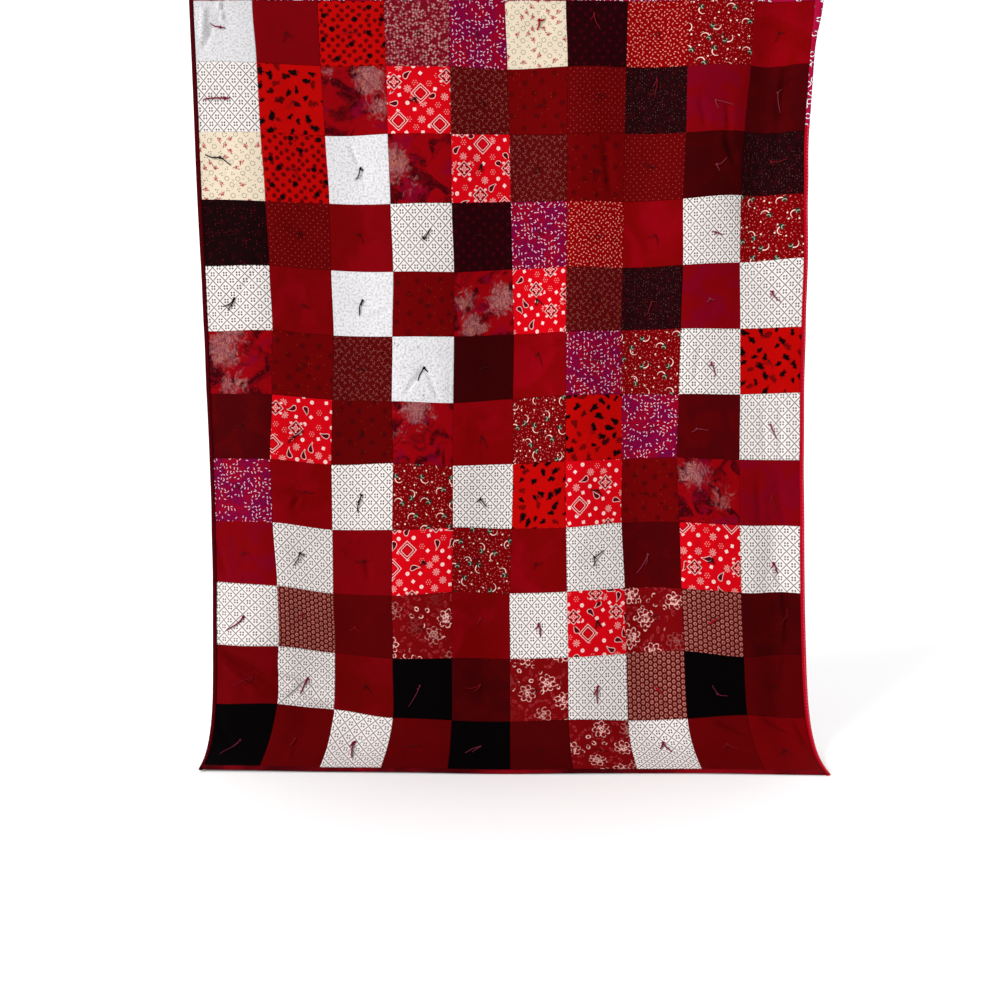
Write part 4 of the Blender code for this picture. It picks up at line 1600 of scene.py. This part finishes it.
@dataclass(frozen=True)
class RoseCotton(Cotton):
    """Dark red cotton with large roses, buds and leaves drawn in pinkish white lines."""

    ink: str = "E2B0A8"
    wash: str = "8C2C34"
    faint: str = "B03C44"
    pitch: float = 66.0

    def print_on(self, s: Sketch, x: Field, y: Field) -> Field:
        """Wavy rings make the petals, and leaf outlines fill the room between.

        Args:
            s: The sketch to draw in.
            x: Millimetres across the cloth.
            y: Millimetres down the cloth.

        Returns:
            The printed colour.
        """
        rose = s.staggered(x, y, self.pitch, 0.4)
        wobble = s.grain(x, y, 9.0, 2.0)
        angle = s.math("ARCTAN2", rose.y, rose.x) + rose.turn * math.tau
        away = s.length(rose.x, rose.y) + (wobble - 0.5) * 5.0
        lobed = away - s.math("COSINE", angle * 7.0) * 1.5
        petals = s.ring(away - 3.2, 1.1)
        for count, reach, long_half, wide_half in ((7.0, 14.5, 6.6, 6.0), (5.0, 7.4, 3.4, 4.0)):
            share = math.tau / count
            bend = (s.math("FRACT", angle / share) - 0.5) * share * away
            petals = petals.least(s.ring(s.ellipse(away - reach, bend, long_half, wide_half), 0.95))
        size = rose.size.ramp(0.0, 0.25)
        broken = s.grain(x + 200.0, y, 8.0, 2.0).ramp(0.34, 0.56)
        ground = s.lay(self.ground, s.inside(lobed - 15.0, 3.0) * 0.2 * size, self.wash)
        ground = s.lay(ground, s.inside(petals, 0.9) * broken * size, self.ink)
        leaf = s.staggered(x, y, 19.0, 0.5, 5.7)
        right, below = s.turned(leaf.x, leaf.y, leaf.turn)
        is_bud = leaf.pick.under(0.34) * s.grain(x, y + 60.0, 60.0, 1.0).ramp(0.46, 0.54)
        bud = s.ring(s.ellipse(right, below, 5.0, 3.8), 1.1)
        blade = s.ellipse(right, below, 7.5, 3.0)
        veins = s.ring(blade, 0.6).least((abs(below) - 0.4).most(blade))
        outside = s.ramp(lobed, 21.5, 23.0) * broken
        ground = s.lay(ground, s.inside(veins, 0.8) * outside * leaf.pick.over(0.45) * 0.6, self.faint)
        return s.lay(ground, s.inside(bud, 0.9) * outside * is_bud, self.ink)


@dataclass(frozen=True)
class LoopCotton(Cotton):
    """Crimson cotton with open white loops edged in dark plum, used for the binding."""

    ink: str = "F6E0EA"
    edge: str = "3C0C3A"
    pitch: float = 19.0

    def print_on(self, s: Sketch, x: Field, y: Field) -> Field:
        """Rounded squares with one side left open.

        Args:
            s: The sketch to draw in.
            x: Millimetres across the cloth.
            y: Millimetres down the cloth.

        Returns:
            The printed colour.
        """
        spot = s.staggered(x, y, self.pitch, 0.6)
        right, below = s.turned(spot.x, spot.y, spot.turn)
        box = s.length((abs(right) - 2.4).most(0.0), (abs(below) - 2.4).most(0.0)) - 2.6
        opening = (below - 3.4).most(abs(right) - 1.8)
        loop = s.ring(box, 0.95).most(-opening)
        ground = s.lay(self.ground, s.inside(loop - 0.9), self.edge)
        return s.lay(ground, s.inside(loop), self.ink)


@dataclass(frozen=True)
class StitchedCotton(Cotton):
    """Crimson cotton with the row of paler stitches that holds the strip down, and painted shade along its
    inner edge.
    """

    ink: str = "E0687C"
    pitch: float = 8.5

    def print_on(self, s: Sketch, x: Field, y: Field) -> Field:
        """Painted shade along the inner edge, then short dashes along the strip, nearer to its outer edge.

        Args:
            s: The sketch to draw in.
            x: Millimetres across the cloth.
            y: Millimetres down the cloth.

        Returns:
            The printed colour.
        """
        # Painted shade: the strip is drawn darker within a few millimetres of its inner edge, beside the
        # patchwork.
        shade = s.lay(self.ground, s.ramp(y, 5.0, 2.0) * 0.5, "7A0014")
        right = (s.math("FRACT", x / self.pitch) - 0.5) * self.pitch
        uneven = (s.grain(x, y, 20.0, 1.0) - 0.5) * 2.0
        stitches = s.dash(right, y - 6.4 + uneven, 1.5, 0.8)
        return s.lay(shade, s.inside(stitches, 0.8) * 0.7, self.ink)


class Fabric(Enum):
    """The cottons of the patchwork, by the short name that the chart uses."""

    WS = SpeckledCotton("white_speckled_cotton", "D9D7DA")
    WL = LatticeCotton("white_lattice_cotton", "E2DAD7")
    CR = SprigCotton("cream_sprig_cotton", "D8C8B2")
    RD = MottledCotton("deep_red_cotton", "6E0002", second="7A0009", drift=95.0)
    WN = Cotton("wine_cotton", "740007")
    CM = MottledCotton("crimson_hand_dyed_cotton", "740006", second="700016")
    MR = MottledCotton("maroon_hand_dyed_cotton", "400003", second="4A0002")
    NM = Cotton("near_black_maroon_cotton", "320001")
    DR = Cotton("dark_red_cotton", "580002")
    BL = Cotton("black_cotton", "020001", mottle=0.0, sheen=0.0)
    RS = SpottedCotton("red_spotted_cotton", "AA0302")
    RB = LeafCotton("red_leaf_cotton", "AA0302")
    BM = TinyFloralCotton("burgundy_floral_cotton", "74081A")
    PC = ConfettiCotton("confetti_cotton", "86001A")
    PD = SeedCotton("red_seed_cotton", "800003")
    GP = PepperCotton("pepper_cotton", "6C0003")
    BA = BatikCotton("batik_cotton", "840007")
    BN = BandanaCotton("bandana_cotton", "C20210")
    BS = ForkCotton("brown_sprig_cotton", "4E0406")
    PN = SeedCotton(
        "pin_dot_cotton",
        "5C0103",
        ink="B8564E",
        pitch=11.0,
        half_length=0.2,
        radius=0.75,
        jitter=0.3,
        amount=0.7,
    )
    DS = BlotchCotton("shadow_dot_cotton", "620002")
    NB = BlotchCotton(
        "night_blotch_cotton",
        "200003",
        blotch="4A0010",
        pitch=20.0,
        radius=3.6,
        strength=0.5,
        speck_share=0.0,
    )
    BR = BlotchCotton(
        "black_red_speck_cotton", "130204", blotch="260206", speck="901020", speck_share=0.16
    )
    BK = BlotchCotton(
        "black_fine_speck_cotton",
        "1C0305",
        blotch="300206",
        speck="8A5A56",
        speck_pitch=5.4,
        speck_share=0.3,
        speck_radius=0.5,
    )
    RG = RingCotton("ring_cotton", "4A0907")
    PF = RoseCotton("rose_cotton", "6C0306")


# Patches that are darker or brighter than others of their cloth: (row, column): strength.
TONES = {
    (1, 1): 0.93, (1, 9): 1.2, (1, 10): 1.15, (2, 10): 0.95, (3, 9): 0.7, (4, 3): 0.9,
    (4, 8): 1.1, (4, 10): 1.12, (5, 2): 0.95, (6, 6): 1.15, (7, 1): 1.05, (7, 3): 0.75,
    (7, 5): 1.1, (7, 9): 1.15, (10, 3): 0.85, (10, 5): 0.9, (10, 10): 0.8, (11, 1): 0.65,
    (11, 3): 0.7, (11, 5): 0.87, (11, 10): 0.8, (12, 2): 1.1, (12, 6): 0.65, (12, 9): 1.1,
    (12, 10): 1.5,
}
Cloud = namedtuple("Cloud", "row column x y radius strength")
# Where the batik's pale clouds lie in its patches, as shares of the patch.
CLOUDS = (
    Cloud(2, 3, 0.75, 0.20, 0.32, 1.0),
    Cloud(2, 3, 0.90, 0.62, 0.24, 0.8),
    Cloud(2, 3, 0.10, 0.05, 0.18, 0.6),
    Cloud(3, 4, 0.08, 0.45, 0.30, 1.0),
    Cloud(3, 4, 0.35, 0.75, 0.22, 0.6),
    Cloud(5, 5, 0.80, 0.45, 0.30, 1.0),
    Cloud(5, 5, 0.20, 0.45, 0.24, 0.8),
    Cloud(5, 5, 0.30, 0.85, 0.28, 0.9),
    Cloud(6, 1, 0.20, 0.30, 0.36, 1.0),
    Cloud(6, 1, 0.45, 0.05, 0.26, 0.8),
    Cloud(6, 1, 0.40, 0.85, 0.28, 0.8),
    Cloud(7, 4, 0.40, 0.12, 0.32, 1.0),
    Cloud(7, 4, 0.10, 0.50, 0.20, 0.6),
    Cloud(8, 9, 0.25, 0.25, 0.30, 0.9),
    Cloud(8, 9, 0.70, 0.60, 0.26, 0.7),
)


def finished(
    name: str, bm: bmesh.types.BMesh, materials: Sequence[bpy.types.Material]
) -> bpy.types.Object:
    """Turn a bmesh into a piece of the quilt.

    Args:
        name: The piece's name.
        bm: Its mesh, which is freed.
        materials: Its material slots in order.

    Returns:
        The object, riding on the quilt's one body.
    """
    bmesh.ops.recalc_face_normals(bm, faces=bm.faces)
    mesh = bpy.data.meshes.new(name)
    bm.to_mesh(mesh)
    bm.free()
    mesh.shade_smooth()
    for material in materials:
        mesh.materials.append(material)
    piece = bpy.data.objects.new(name, mesh)
    bpy.context.scene.collection.objects.link(piece)
    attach(piece, "root")
    LOG.info("%s: %d faces", name, len(mesh.polygons))
    return piece


def drawn_out(
    bm: bmesh.types.BMesh, face: bmesh.types.BMFace, is_first: bool
) -> tuple[list[bmesh.types.BMVert], bmesh.types.BMFace]:
    """Draw a strip or thread out by one step from its end face.

    Args:
        bm: The mesh.
        face: The end face, which is deleted unless it closes the strip's start.
        is_first: Whether it does.

    Returns:
        The new end's vertices, and the new end face.
    """
    drawn = bmesh.ops.extrude_face_region(bm, geom=[face])["geom"]
    if not is_first:
        bmesh.ops.delete(bm, geom=[face], context="FACES_ONLY")
    verts = [item for item in drawn if isinstance(item, bmesh.types.BMVert)]
    return verts, next(item for item in drawn if isinstance(item, bmesh.types.BMFace))


@dataclass
class Patchwork:
    """The pieced top: every patch is a thin sheet whose edges turn down into its seams.

    The rim's pairs are a share of the patch from its seam, and the millimetres sunk there.
    """

    cells: int = 33
    rim: tuple[tuple[float, float], ...] = ((0.0003, -2.0), (0.0016, -0.4), (0.007, -0.18), (0.017, -0.05))
    cloth_thickness: float = 0.0004
    seed: int = 7

    def stations(self) -> list[tuple[float, float]]:
        """Grid lines over one patch as pairs: share of the patch, and millimetres of turn-down.

        Returns:
            The pairs in order.
        """
        inner = [(step / self.cells, 0.0) for step in range(1, self.cells)]
        lines = list(self.rim) + inner
        return lines + [(1.0 - place, sunk) for place, sunk in reversed(self.rim)]

    def add_patch(
        self,
        bm: bmesh.types.BMesh,
        row: int,
        column: int,
        corner: tuple[float, float],
        tile: tuple[float, float, float],
    ) -> None:
        """Add one patch to the mesh of its fabric.

        Args:
            bm: The fabric's mesh.
            row: Row, from 0.
            column: Column, from 0.
            corner: Where on its flat cloth the patch was cut, in metres.
            tile: Left, bottom and side of its square on the baking map.
        """
        lines = self.stations()
        count = len(lines)
        grid = bmesh.ops.create_grid(bm, x_segments=count - 1, y_segments=count - 1, size=0.5)["verts"]
        steps = [(round((v.co.x + 0.5) * (count - 1)), round((0.5 - v.co.y) * (count - 1))) for v in grid]
        right = np.array([lines[i][0] for i, _ in steps])
        below = np.array([lines[j][0] for _, j in steps])
        sunk = np.array([min(lines[i][1], lines[j][1]) for i, j in steps]) * MM
        height = RELIEF.front(right + column, below + row) + sunk
        points = CLOTH.place(right + column, below + row, height)
        tone = TONES.get((row + 1, column + 1), 1.0)
        cloud = np.zeros(right.size)
        for spot in CLOUDS:
            if (spot.row, spot.column) == (row + 1, column + 1):
                away = np.hypot(right - spot.x, below - spot.y) / spot.radius
                cloud = np.maximum(cloud, spot.strength * np.exp(-(away**2)))
        tone_layer = bm.verts.layers.float["tone"]
        cloud_layer = bm.verts.layers.float["cloud"]
        places = {}
        for vert, point, u, v, pale in zip(grid, points, right, below, cloud):
            vert.co = point
            vert[tone_layer] = tone
            vert[cloud_layer] = pale
            places[vert] = (u, v)
        cloth_map = bm.loops.layers.uv["cloth"]
        bake_map = bm.loops.layers.uv["OFBake"]
        for face in {face for vert in grid for face in vert.link_faces}:
            for loop in face.loops:
                u, v = places[loop.vert]
                loop[cloth_map].uv = (corner[0] + u * PATCH_WIDTH, corner[1] + v * PATCH_HEIGHT)
                loop[bake_map].uv = (tile[0] + u * tile[2], tile[1] + (1.0 - v) * tile[2])

    def build(self) -> list[bpy.types.Object]:
        """Cut and lay every patch, one mesh for each fabric.

        Returns:
            The pieces.
        """
        draw = random.Random(self.seed)
        chart = [line.split() for line in CHART]
        pieces = []
        for fabric in Fabric:
            cut = [(r, c) for r in range(ROWS) for c in range(COLUMNS) if chart[r][c] == fabric.name]
            side = math.ceil(math.sqrt(len(cut)))
            bm = bmesh.new()
            bm.verts.layers.float.new("tone")
            bm.verts.layers.float.new("cloud")
            bm.loops.layers.uv.new("cloth")
            bm.loops.layers.uv.new("OFBake")
            for number, (row, column) in enumerate(cut):
                corner = (draw.uniform(0.0, 1.5), draw.uniform(0.0, 1.5))
                tile = ((number % side + 0.01) / side, (number // side + 0.01) / side, 0.98 / side)
                self.add_patch(bm, row, column, corner, tile)
            bmesh.ops.solidify(bm, geom=bm.faces[:], thickness=self.cloth_thickness)
            name = f"patches_{fabric.value.name}"
            pieces.append(finished(name, bm, [fabric.value.build()]))
        return pieces


@dataclass
class Body:
    """The filling and the plain back, drawn out from one grid, under the patchwork."""

    cells: int = 12
    margin: float = 0.0075
    front_height: float = 0.0003
    back: Cotton = Cotton("back_wine_cotton", "5C0410")

    def build(self) -> bpy.types.Object:
        """Build the quilted layer.

        Returns:
            The piece, which stands for the node quilt.
        """
        wide, tall = self.margin / PATCH_WIDTH, self.margin / PATCH_HEIGHT
        across_steps = [i / self.cells for i in range(COLUMNS * self.cells + 1)]
        down_steps = [i / self.cells for i in range(ROWS * self.cells + 1)]
        across_lines = [-wide] + across_steps + [COLUMNS + wide]
        down_lines = [-tall] + down_steps + [ROWS + tall]
        nx, ny = len(across_lines) - 1, len(down_lines) - 1
        bm = bmesh.new()
        bmesh.ops.create_grid(bm, x_segments=nx, y_segments=ny, size=0.5)
        cloth_map = bm.loops.layers.uv.new("cloth")
        tone = bm.verts.layers.float.new("tone")
        for face in bm.faces:
            for loop in face.loops:
                right, below = loop.vert.co.x + 0.5, 0.5 - loop.vert.co.y
                loop[cloth_map].uv = (right * COLUMNS * PATCH_WIDTH, below * ROWS * PATCH_HEIGHT)
        places = [(round((v.co.x + 0.5) * nx), round((0.5 - v.co.y) * ny)) for v in bm.verts]
        across = np.array([across_lines[i] for i, _ in places])
        down = np.array([down_lines[j] for _, j in places])
        bend = RELIEF.hollow(across, down)
        front = CLOTH.place(across, down, bend + self.front_height)
        fullness = BACK_SEAM + BACK_PUFF * RELIEF.puff(across, down)
        behind = CLOTH.place(across, down, bend - fullness)
        back_verts = bm.verts[:]
        where = {vert: index for index, vert in enumerate(back_verts)}
        drawn = bmesh.ops.extrude_face_region(bm, geom=bm.faces[:])["geom"]
        front_verts = [item for item in drawn if isinstance(item, bmesh.types.BMVert)]
        for vert in front_verts:
            i, j = round((vert.co.x + 0.5) * nx), round((0.5 - vert.co.y) * ny)
            where[vert] = i + (ny - j) * (nx + 1)
        for vert in bm.verts:
            vert[tone] = 1.0
        for vert in back_verts:
            vert.co = behind[where[vert]]
        for vert in front_verts:
            vert.co = front[where[vert]]
        piece = finished("quilt_body", bm, [self.back.build()])
        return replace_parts(piece, "quilt")


@dataclass
class Binding:
    """One strip folded over an edge of the quilt and sewn down."""

    name: str
    slot: str
    place: Callable[[float, float], tuple[float, float]]
    length: float
    lines: Sequence[float]
    cottons: Sequence[Cotton]
    width: float = 0.0105
    flare: float = 0.0
    flare_end: float = 0.8
    change_at: Optional[float] = None
    inner: float = 0.0018
    cloth: float = 0.0010
    top: float = 0.0032
    pucker: float = 0.00035
    fold_steps: int = 6

    def width_at(self, line: float) -> float:
        """The width, with the flare toward the strip's first end."""
        return self.width + self.flare * float(smooth_step(1.0 - line / self.flare_end))

    def section(self, width: float) -> list[tuple[float, float]]:
        """The fold's outline as pairs: distance out from the patchwork, and height.

        Args:
            width: The strip's width, in metres.

        Returns:
            The pairs in order.
        """
        inner, top = self.inner, self.top
        outer = inner + self.cloth
        outline = [(-0.0006, top - 0.0006), (0.0012, top + 0.0005), (width * 0.45, top + 0.0004)]
        for step in range(self.fold_steps + 1):
            turn = math.pi * step / self.fold_steps
            outline.append((width - outer + outer * math.sin(turn), outer * math.cos(turn)))
        outline += [(0.002, -outer - 0.0004), (0.0, -outer), (0.0, -inner - 0.0002)]
        for step in range(self.fold_steps, -1, -2):
            turn = math.pi * step / self.fold_steps
            outline.append((width - outer + inner * math.sin(turn), inner * math.cos(turn)))
        return outline + [(0.003, inner + 0.0006)]

    def build(self) -> bpy.types.Object:
        """Sweep the fold along its edge by drawing its end face from line to line.

        Returns:
            The piece, which stands for the strip's node.
        """
        flat_section = self.section(BINDING_DEPTH)
        bm = bmesh.new()
        bmesh.ops.create_circle(bm, cap_ends=True, radius=1.0, segments=len(flat_section))
        corner = bm.verts.layers.int.new("corner")
        along = bm.verts.layers.float.new("along")
        tone = bm.verts.layers.float.new("tone")
        for index, vert in enumerate(bm.verts):
            vert[corner] = index
        bm.faces.ensure_lookup_table()
        end_face = bm.faces[0]
        ends = bm.verts[:]
        for number, line in enumerate(self.lines):
            if number:
                ends, end_face = drawn_out(bm, end_face, number == 1)
            section = self.section(self.width_at(line))
            wave = self.pucker * noise.noise(Vector((line * 9.0, len(self.name), 0.0)))
            outs = np.array([section[v[corner]][0] for v in ends])
            ups = np.array([section[v[corner]][1] for v in ends]) + wave
            spots = [self.place(line, out) for out in outs]
            points = CLOTH.place([a for a, _ in spots], [d for _, d in spots], ups)
            for vert, point in zip(ends, points):
                vert.co = point
                vert[along] = line * self.length
                vert[tone] = 1.0
        cloth_map = bm.loops.layers.uv.new("cloth")
        for face in bm.faces:
            if self.change_at is not None and face.calc_center_median().z < self.change_at:
                face.material_index = 1
            for loop in face.loops:
                out, up = flat_section[loop.vert[corner]]
                loop[cloth_map].uv = (loop.vert[along], out if up > 0 else 0.022 - out)
        piece = finished(self.name + "_strip", bm, [c.build() for c in self.cottons])
        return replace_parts(piece, self.name)


def build_bindings() -> list[bpy.types.Object]:
    """Build the four strips.

    Returns:
        The pieces.
    """
    step, cover, inset = 0.08, 0.0115 / PATCH_HEIGHT, 0.004
    side_lines = [-cover] + [i * step for i in range(int(ROWS / step) + 1)] + [ROWS + cover]
    end_lines = [inset] + [i * step for i in range(1, int(COLUMNS / step))] + [COLUMNS - inset]
    loops = LoopCotton("loop_print_cotton", "A00A34")
    maroon = Cotton("maroon_binding_cotton", "460006")
    crimson = StitchedCotton("crimson_binding_cotton", "B4081C", roughness=0.8)
    red = MottledCotton("red_binding_cotton", "3A0004", second="7C0410", drift=210.0)

    def left(line: float, out: float) -> tuple[float, float]:
        """A place on the left strip, out from the patchwork in metres."""
        return -out / PATCH_WIDTH, line

    def right(line: float, out: float) -> tuple[float, float]:
        """The same on the right strip."""
        return COLUMNS + out / PATCH_WIDTH, line

    def top(line: float, out: float) -> tuple[float, float]:
        """The same on the top strip."""
        return line, -out / PATCH_HEIGHT

    def bottom(line: float, out: float) -> tuple[float, float]:
        """The same on the bottom strip."""
        return line, ROWS + out / PATCH_HEIGHT

    side, end = (PATCH_HEIGHT, side_lines), (PATCH_WIDTH, end_lines)
    strips = (
        Binding("binding_left", "binding_maroon", left, *side, [maroon]),
        Binding(
            "binding_right",
            "binding_crimson",
            right,
            *side,
            [loops, crimson],
            width=0.0100,
            flare=0.0095,
            change_at=-0.285,
        ),
        Binding("binding_top", "binding_loops", top, *end, [loops]),
        Binding("binding_bottom", "binding_red", bottom, *end, [red]),
    )
    return [strip.build() for strip in strips]


@dataclass
class Ties:
    """The knotted threads: a small knot, two free tails, and the stitch that shows behind."""

    sides: int = 6
    knot_lift: float = 0.0020
    knot_half_wide: float = 0.0023
    knot_half_tall: float = 0.0015
    knot_steps: int = 14
    tail_lift: float = 0.0012
    tail_droop: float = 0.0016
    tail_steps: int = 8
    stitch_half: float = 0.0032
    seed: int = 19

    def tube(self, bm: bmesh.types.BMesh, points: Sequence[Vector], radii: Sequence[float]) -> None:
        """Draw a round thread along some points by extruding its end face.

        Args:
            bm: The mesh to add to.
            points: The thread's middle line.
            radii: Its radius at each point.
        """
        circle = bmesh.ops.create_circle(bm, cap_ends=True, radius=1.0, segments=self.sides)["verts"]
        face = circle[0].link_faces[0]
        turns = [math.tau * i / self.sides for i in range(self.sides)]
        layer = bm.verts.layers.int["corner"]
        for number, vert in enumerate(circle):
            vert[layer] = number
        ends = list(circle)
        previous = None
        for number, (point, radius) in enumerate(zip(points, radii)):
            if number:
                ends, face = drawn_out(bm, face, number == 1)
            ahead = points[min(number + 1, len(points) - 1)] - points[max(number - 1, 0)]
            ahead.normalize()
            if previous is None:
                side = ahead.orthogonal().normalized()
            else:
                side = (previous - ahead * previous.dot(ahead)).normalized()
            previous = side
            other = ahead.cross(side)
            for vert in ends:
                turn = turns[vert[layer]]
                vert.co = point + (side * math.cos(turn) + other * math.sin(turn)) * radius

    def on_cloth(self, places: np.ndarray, lifts: Sequence[float]) -> list[Vector]:
        """Points at some heights above the patchwork."""
        height = RELIEF.front(places[:, 0], places[:, 1]) + np.asarray(lifts)
        return [Vector(p) for p in CLOTH.place(places[:, 0], places[:, 1], height)]

    def add_tie(
        self, bm: bmesh.types.BMesh, knot: np.ndarray, tails: np.ndarray, radius: float, draw: random.Random
    ) -> None:
        """Add one tie.

        Args:
            bm: The mesh of its thread colour.
            knot: Across and down of the knot.
            tails: Across and down of the two free ends.
            radius: Half the thread's thickness.
            draw: Chooses the small bends.
        """
        turn = draw.uniform(0.0, math.pi)
        loop, lifts = [], []
        for step in range(self.knot_steps + 1):
            t = math.tau * step / self.knot_steps
            x = self.knot_half_wide * math.cos(t)
            y = self.knot_half_tall * math.sin(2.0 * t)
            across = (x * math.cos(turn) - y * math.sin(turn)) / PATCH_WIDTH
            down = (x * math.sin(turn) + y * math.cos(turn)) / PATCH_HEIGHT
            loop.append(knot + (across, down))
            lifts.append(self.knot_lift + 0.0011 * math.sin(t))
        self.tube(bm, self.on_cloth(np.array(loop), lifts), [radius] * len(loop))
        for end in tails:
            run = (end - knot) * (PATCH_WIDTH, PATCH_HEIGHT)
            length = float(np.hypot(*run))
            aside = np.array((-run[1], run[0])) / length
            bow = draw.uniform(-0.09, 0.09) * length
            wave = draw.uniform(-0.03, 0.03) * length
            places, lifts, radii = [], [], []
            for step in range(self.tail_steps + 1):
                t = step / self.tail_steps
                arch = math.sin(math.pi * t)
                push = bow * arch + wave * math.sin(math.tau * t)
                droop = (0.0, self.tail_droop * arch)
                here = knot * (PATCH_WIDTH, PATCH_HEIGHT) + run * t + aside * push + droop
                places.append(here / (PATCH_WIDTH, PATCH_HEIGHT))
                lifts.append(self.knot_lift * (1.0 - t) ** 2 + self.tail_lift * (1.0 + arch))
                radii.append(radius * (1.0 - 0.3 * t**3))
            self.tube(bm, self.on_cloth(np.array(places), lifts), radii)

    def add_back_stitch(self, bm: bmesh.types.BMesh, knot: np.ndarray, radius: float) -> None:
        """Add the short stitch that the tie leaves on the back.

        Args:
            bm: The mesh of its thread colour.
            knot: Across and down of the knot.
            radius: Half the thread's thickness.
        """
        steps = np.linspace(-1.0, 1.0, 7)
        across = knot[0] + steps * self.stitch_half / PATCH_WIDTH
        down = np.full(steps.size, knot[1])
        puff = RELIEF.puff(across, down)
        height = -BACK_SEAM - BACK_PUFF * puff - 0.0009 * (1.0 - steps**4) + 0.0006 * steps**4
        height += RELIEF.hollow(across, down)
        points = [Vector(p) for p in CLOTH.place(across, down, height)]
        self.tube(bm, points, [radius * 0.8] * steps.size)

    def build(self) -> list[bpy.types.Object]:
        """Tie every patch, one mesh for each thread colour.

        Returns:
            The pieces.
        """
        draw = random.Random(self.seed)
        pieces = []
        for thread in Thread:
            bm = bmesh.new()
            for _, (knot, tails, colour) in sorted(RELIEF.ties.items()):
                if colour is thread:
                    one = bmesh.new()
                    one.verts.layers.int.new("corner")
                    self.add_tie(one, knot, tails, thread.radius, draw)
                    self.add_back_stitch(one, knot, thread.radius)
                    spare = bpy.data.meshes.new("tie")
                    one.to_mesh(spare)
                    one.free()
                    bm.from_mesh(spare)
                    bpy.data.meshes.remove(spare)
            name = f"ties_{thread.name.lower()}"
            finish = ThreadFinish(f"{thread.name.lower()}_cotton_thread", thread.value[0])
            pieces.append(finished(name, bm, [finish.build()]))
        return pieces


@dataclass(frozen=True)
class ThreadFinish:
    """Soft cotton embroidery thread: dull with a slight gloss along its twist."""

    name: str
    colour: str
    twist: float = 2.2

    def build(self) -> bpy.types.Material:
        """Draw the thread's material.

        Returns:
            The finished material.
        """
        s = Sketch(self.name)
        place = s.field(s.add("TexCoord", {}), "Object")
        x, _, z = s.split(place)
        twist = s.math("SINE", (x + z) * (math.tau / (self.twist * MM)))
        shade = s.lay(self.colour, (twist * 0.5 + 0.5) * 0.35, "100208")
        bump = s.add("Bump", {"Height": twist, "Distance": 0.0001, "Strength": 0.8})
        return s.finish(
            {
                "Base Color": shade,
                "Roughness": 0.62,
                "Sheen Weight": 0.02,
                "Specular IOR Level": 0.05,
                "Normal": s.field(bump),
            }
        )


@dataclass
class Studio:
    """A plain pale floor and soft studio light."""

    floor_side: float = 30.0
    floor_drop: float = 0.0006
    wall: float = 1.36
    ceiling: float = 0.55
    room: float = 0.14
    key_power: float = 2.9
    key_from: tuple[float, float, float] = (-0.7, -0.55, 0.46)
    key_softness: float = math.radians(26.0)

    def build_key(self) -> None:
        """Hang one broad, distant lamp, in front, up and to the left."""
        data = bpy.data.lights.new("key", "SUN")
        data.energy = self.key_power
        data.angle = self.key_softness
        lamp = bpy.data.objects.new("key", data)
        lamp.location = Vector(self.key_from) * 4.0
        lamp.rotation_euler = Vector(self.key_from).to_track_quat("Z", "Y").to_euler()
        bpy.context.scene.collection.objects.link(lamp)

    def build_room(self) -> None:
        """Light the room: a white wall behind the quilt, a bright ceiling and a dimmer room in front."""
        world = bpy.data.worlds.new("white_studio")
        world.use_nodes = True
        nodes, links = world.node_tree.nodes, world.node_tree.links
        coordinates = nodes.new("ShaderNodeTexCoord")
        parts = nodes.new("ShaderNodeSeparateXYZ")
        links.new(coordinates.outputs["Generated"], parts.inputs[0])
        total = nodes.new("ShaderNodeMath")
        ways = (("Y", -0.1, 0.25, self.room, self.wall), ("Z", 0.4, 0.8, 0.0, self.ceiling))
        for number, (axis, low, high, dim, bright) in enumerate(ways):
            ramp = nodes.new("ShaderNodeMapRange")
            for socket, value in enumerate((low, high, dim, bright), start=1):
                ramp.inputs[socket].default_value = value
            links.new(parts.outputs[axis], ramp.inputs["Value"])
            links.new(ramp.outputs["Result"], total.inputs[number])
        background = nodes["Background"]
        background.inputs["Color"].default_value = (1.0, 1.0, 1.0, 1.0)
        links.new(total.outputs["Value"], background.inputs["Strength"])
        bpy.context.scene.world = world

    def build(self) -> None:
        """Lay the floor, hang the lamp and light the room."""
        bm = bmesh.new()
        bmesh.ops.create_grid(bm, x_segments=1, y_segments=1, size=self.floor_side / 2.0)
        level = CAD_BOX[0].z - self.floor_drop
        bmesh.ops.translate(bm, verts=bm.verts, vec=(0.0, 0.0, level))
        mesh = bpy.data.meshes.new("floor")
        bm.to_mesh(mesh)
        bm.free()
        s = Sketch("pale_matt_floor_paint")
        at = s.field(s.add("TexCoord", {}), "Object")
        grain = s.field(s.add("TexNoise", {"Vector": at, "Scale": 9.0, "Detail": 4.0}))
        shade = s.lay("FAFAFA", grain * 0.06, "F2F2F2")
        mesh.materials.append(s.finish({"Base Color": shade, "Roughness": 0.9, "Specular IOR Level": 0.1}))
        floor = bpy.data.objects.new("floor", mesh)
        bpy.context.scene.collection.objects.link(floor)
        self.build_room()
        self.build_key()
        settings = bpy.context.scene.view_settings
        settings.view_transform = "Standard"
        settings.look = "None"


def main() -> None:
    logging.basicConfig(level=logging.INFO, format="%(name)s: %(message)s")
    VIEWPOINT.build()
    Studio().build()
    patches = Patchwork().build()
    body = Body().build()
    strips = build_bindings()
    ties = Ties().build()
    patches + strips + ties


if __name__ == "__main__":
    main()
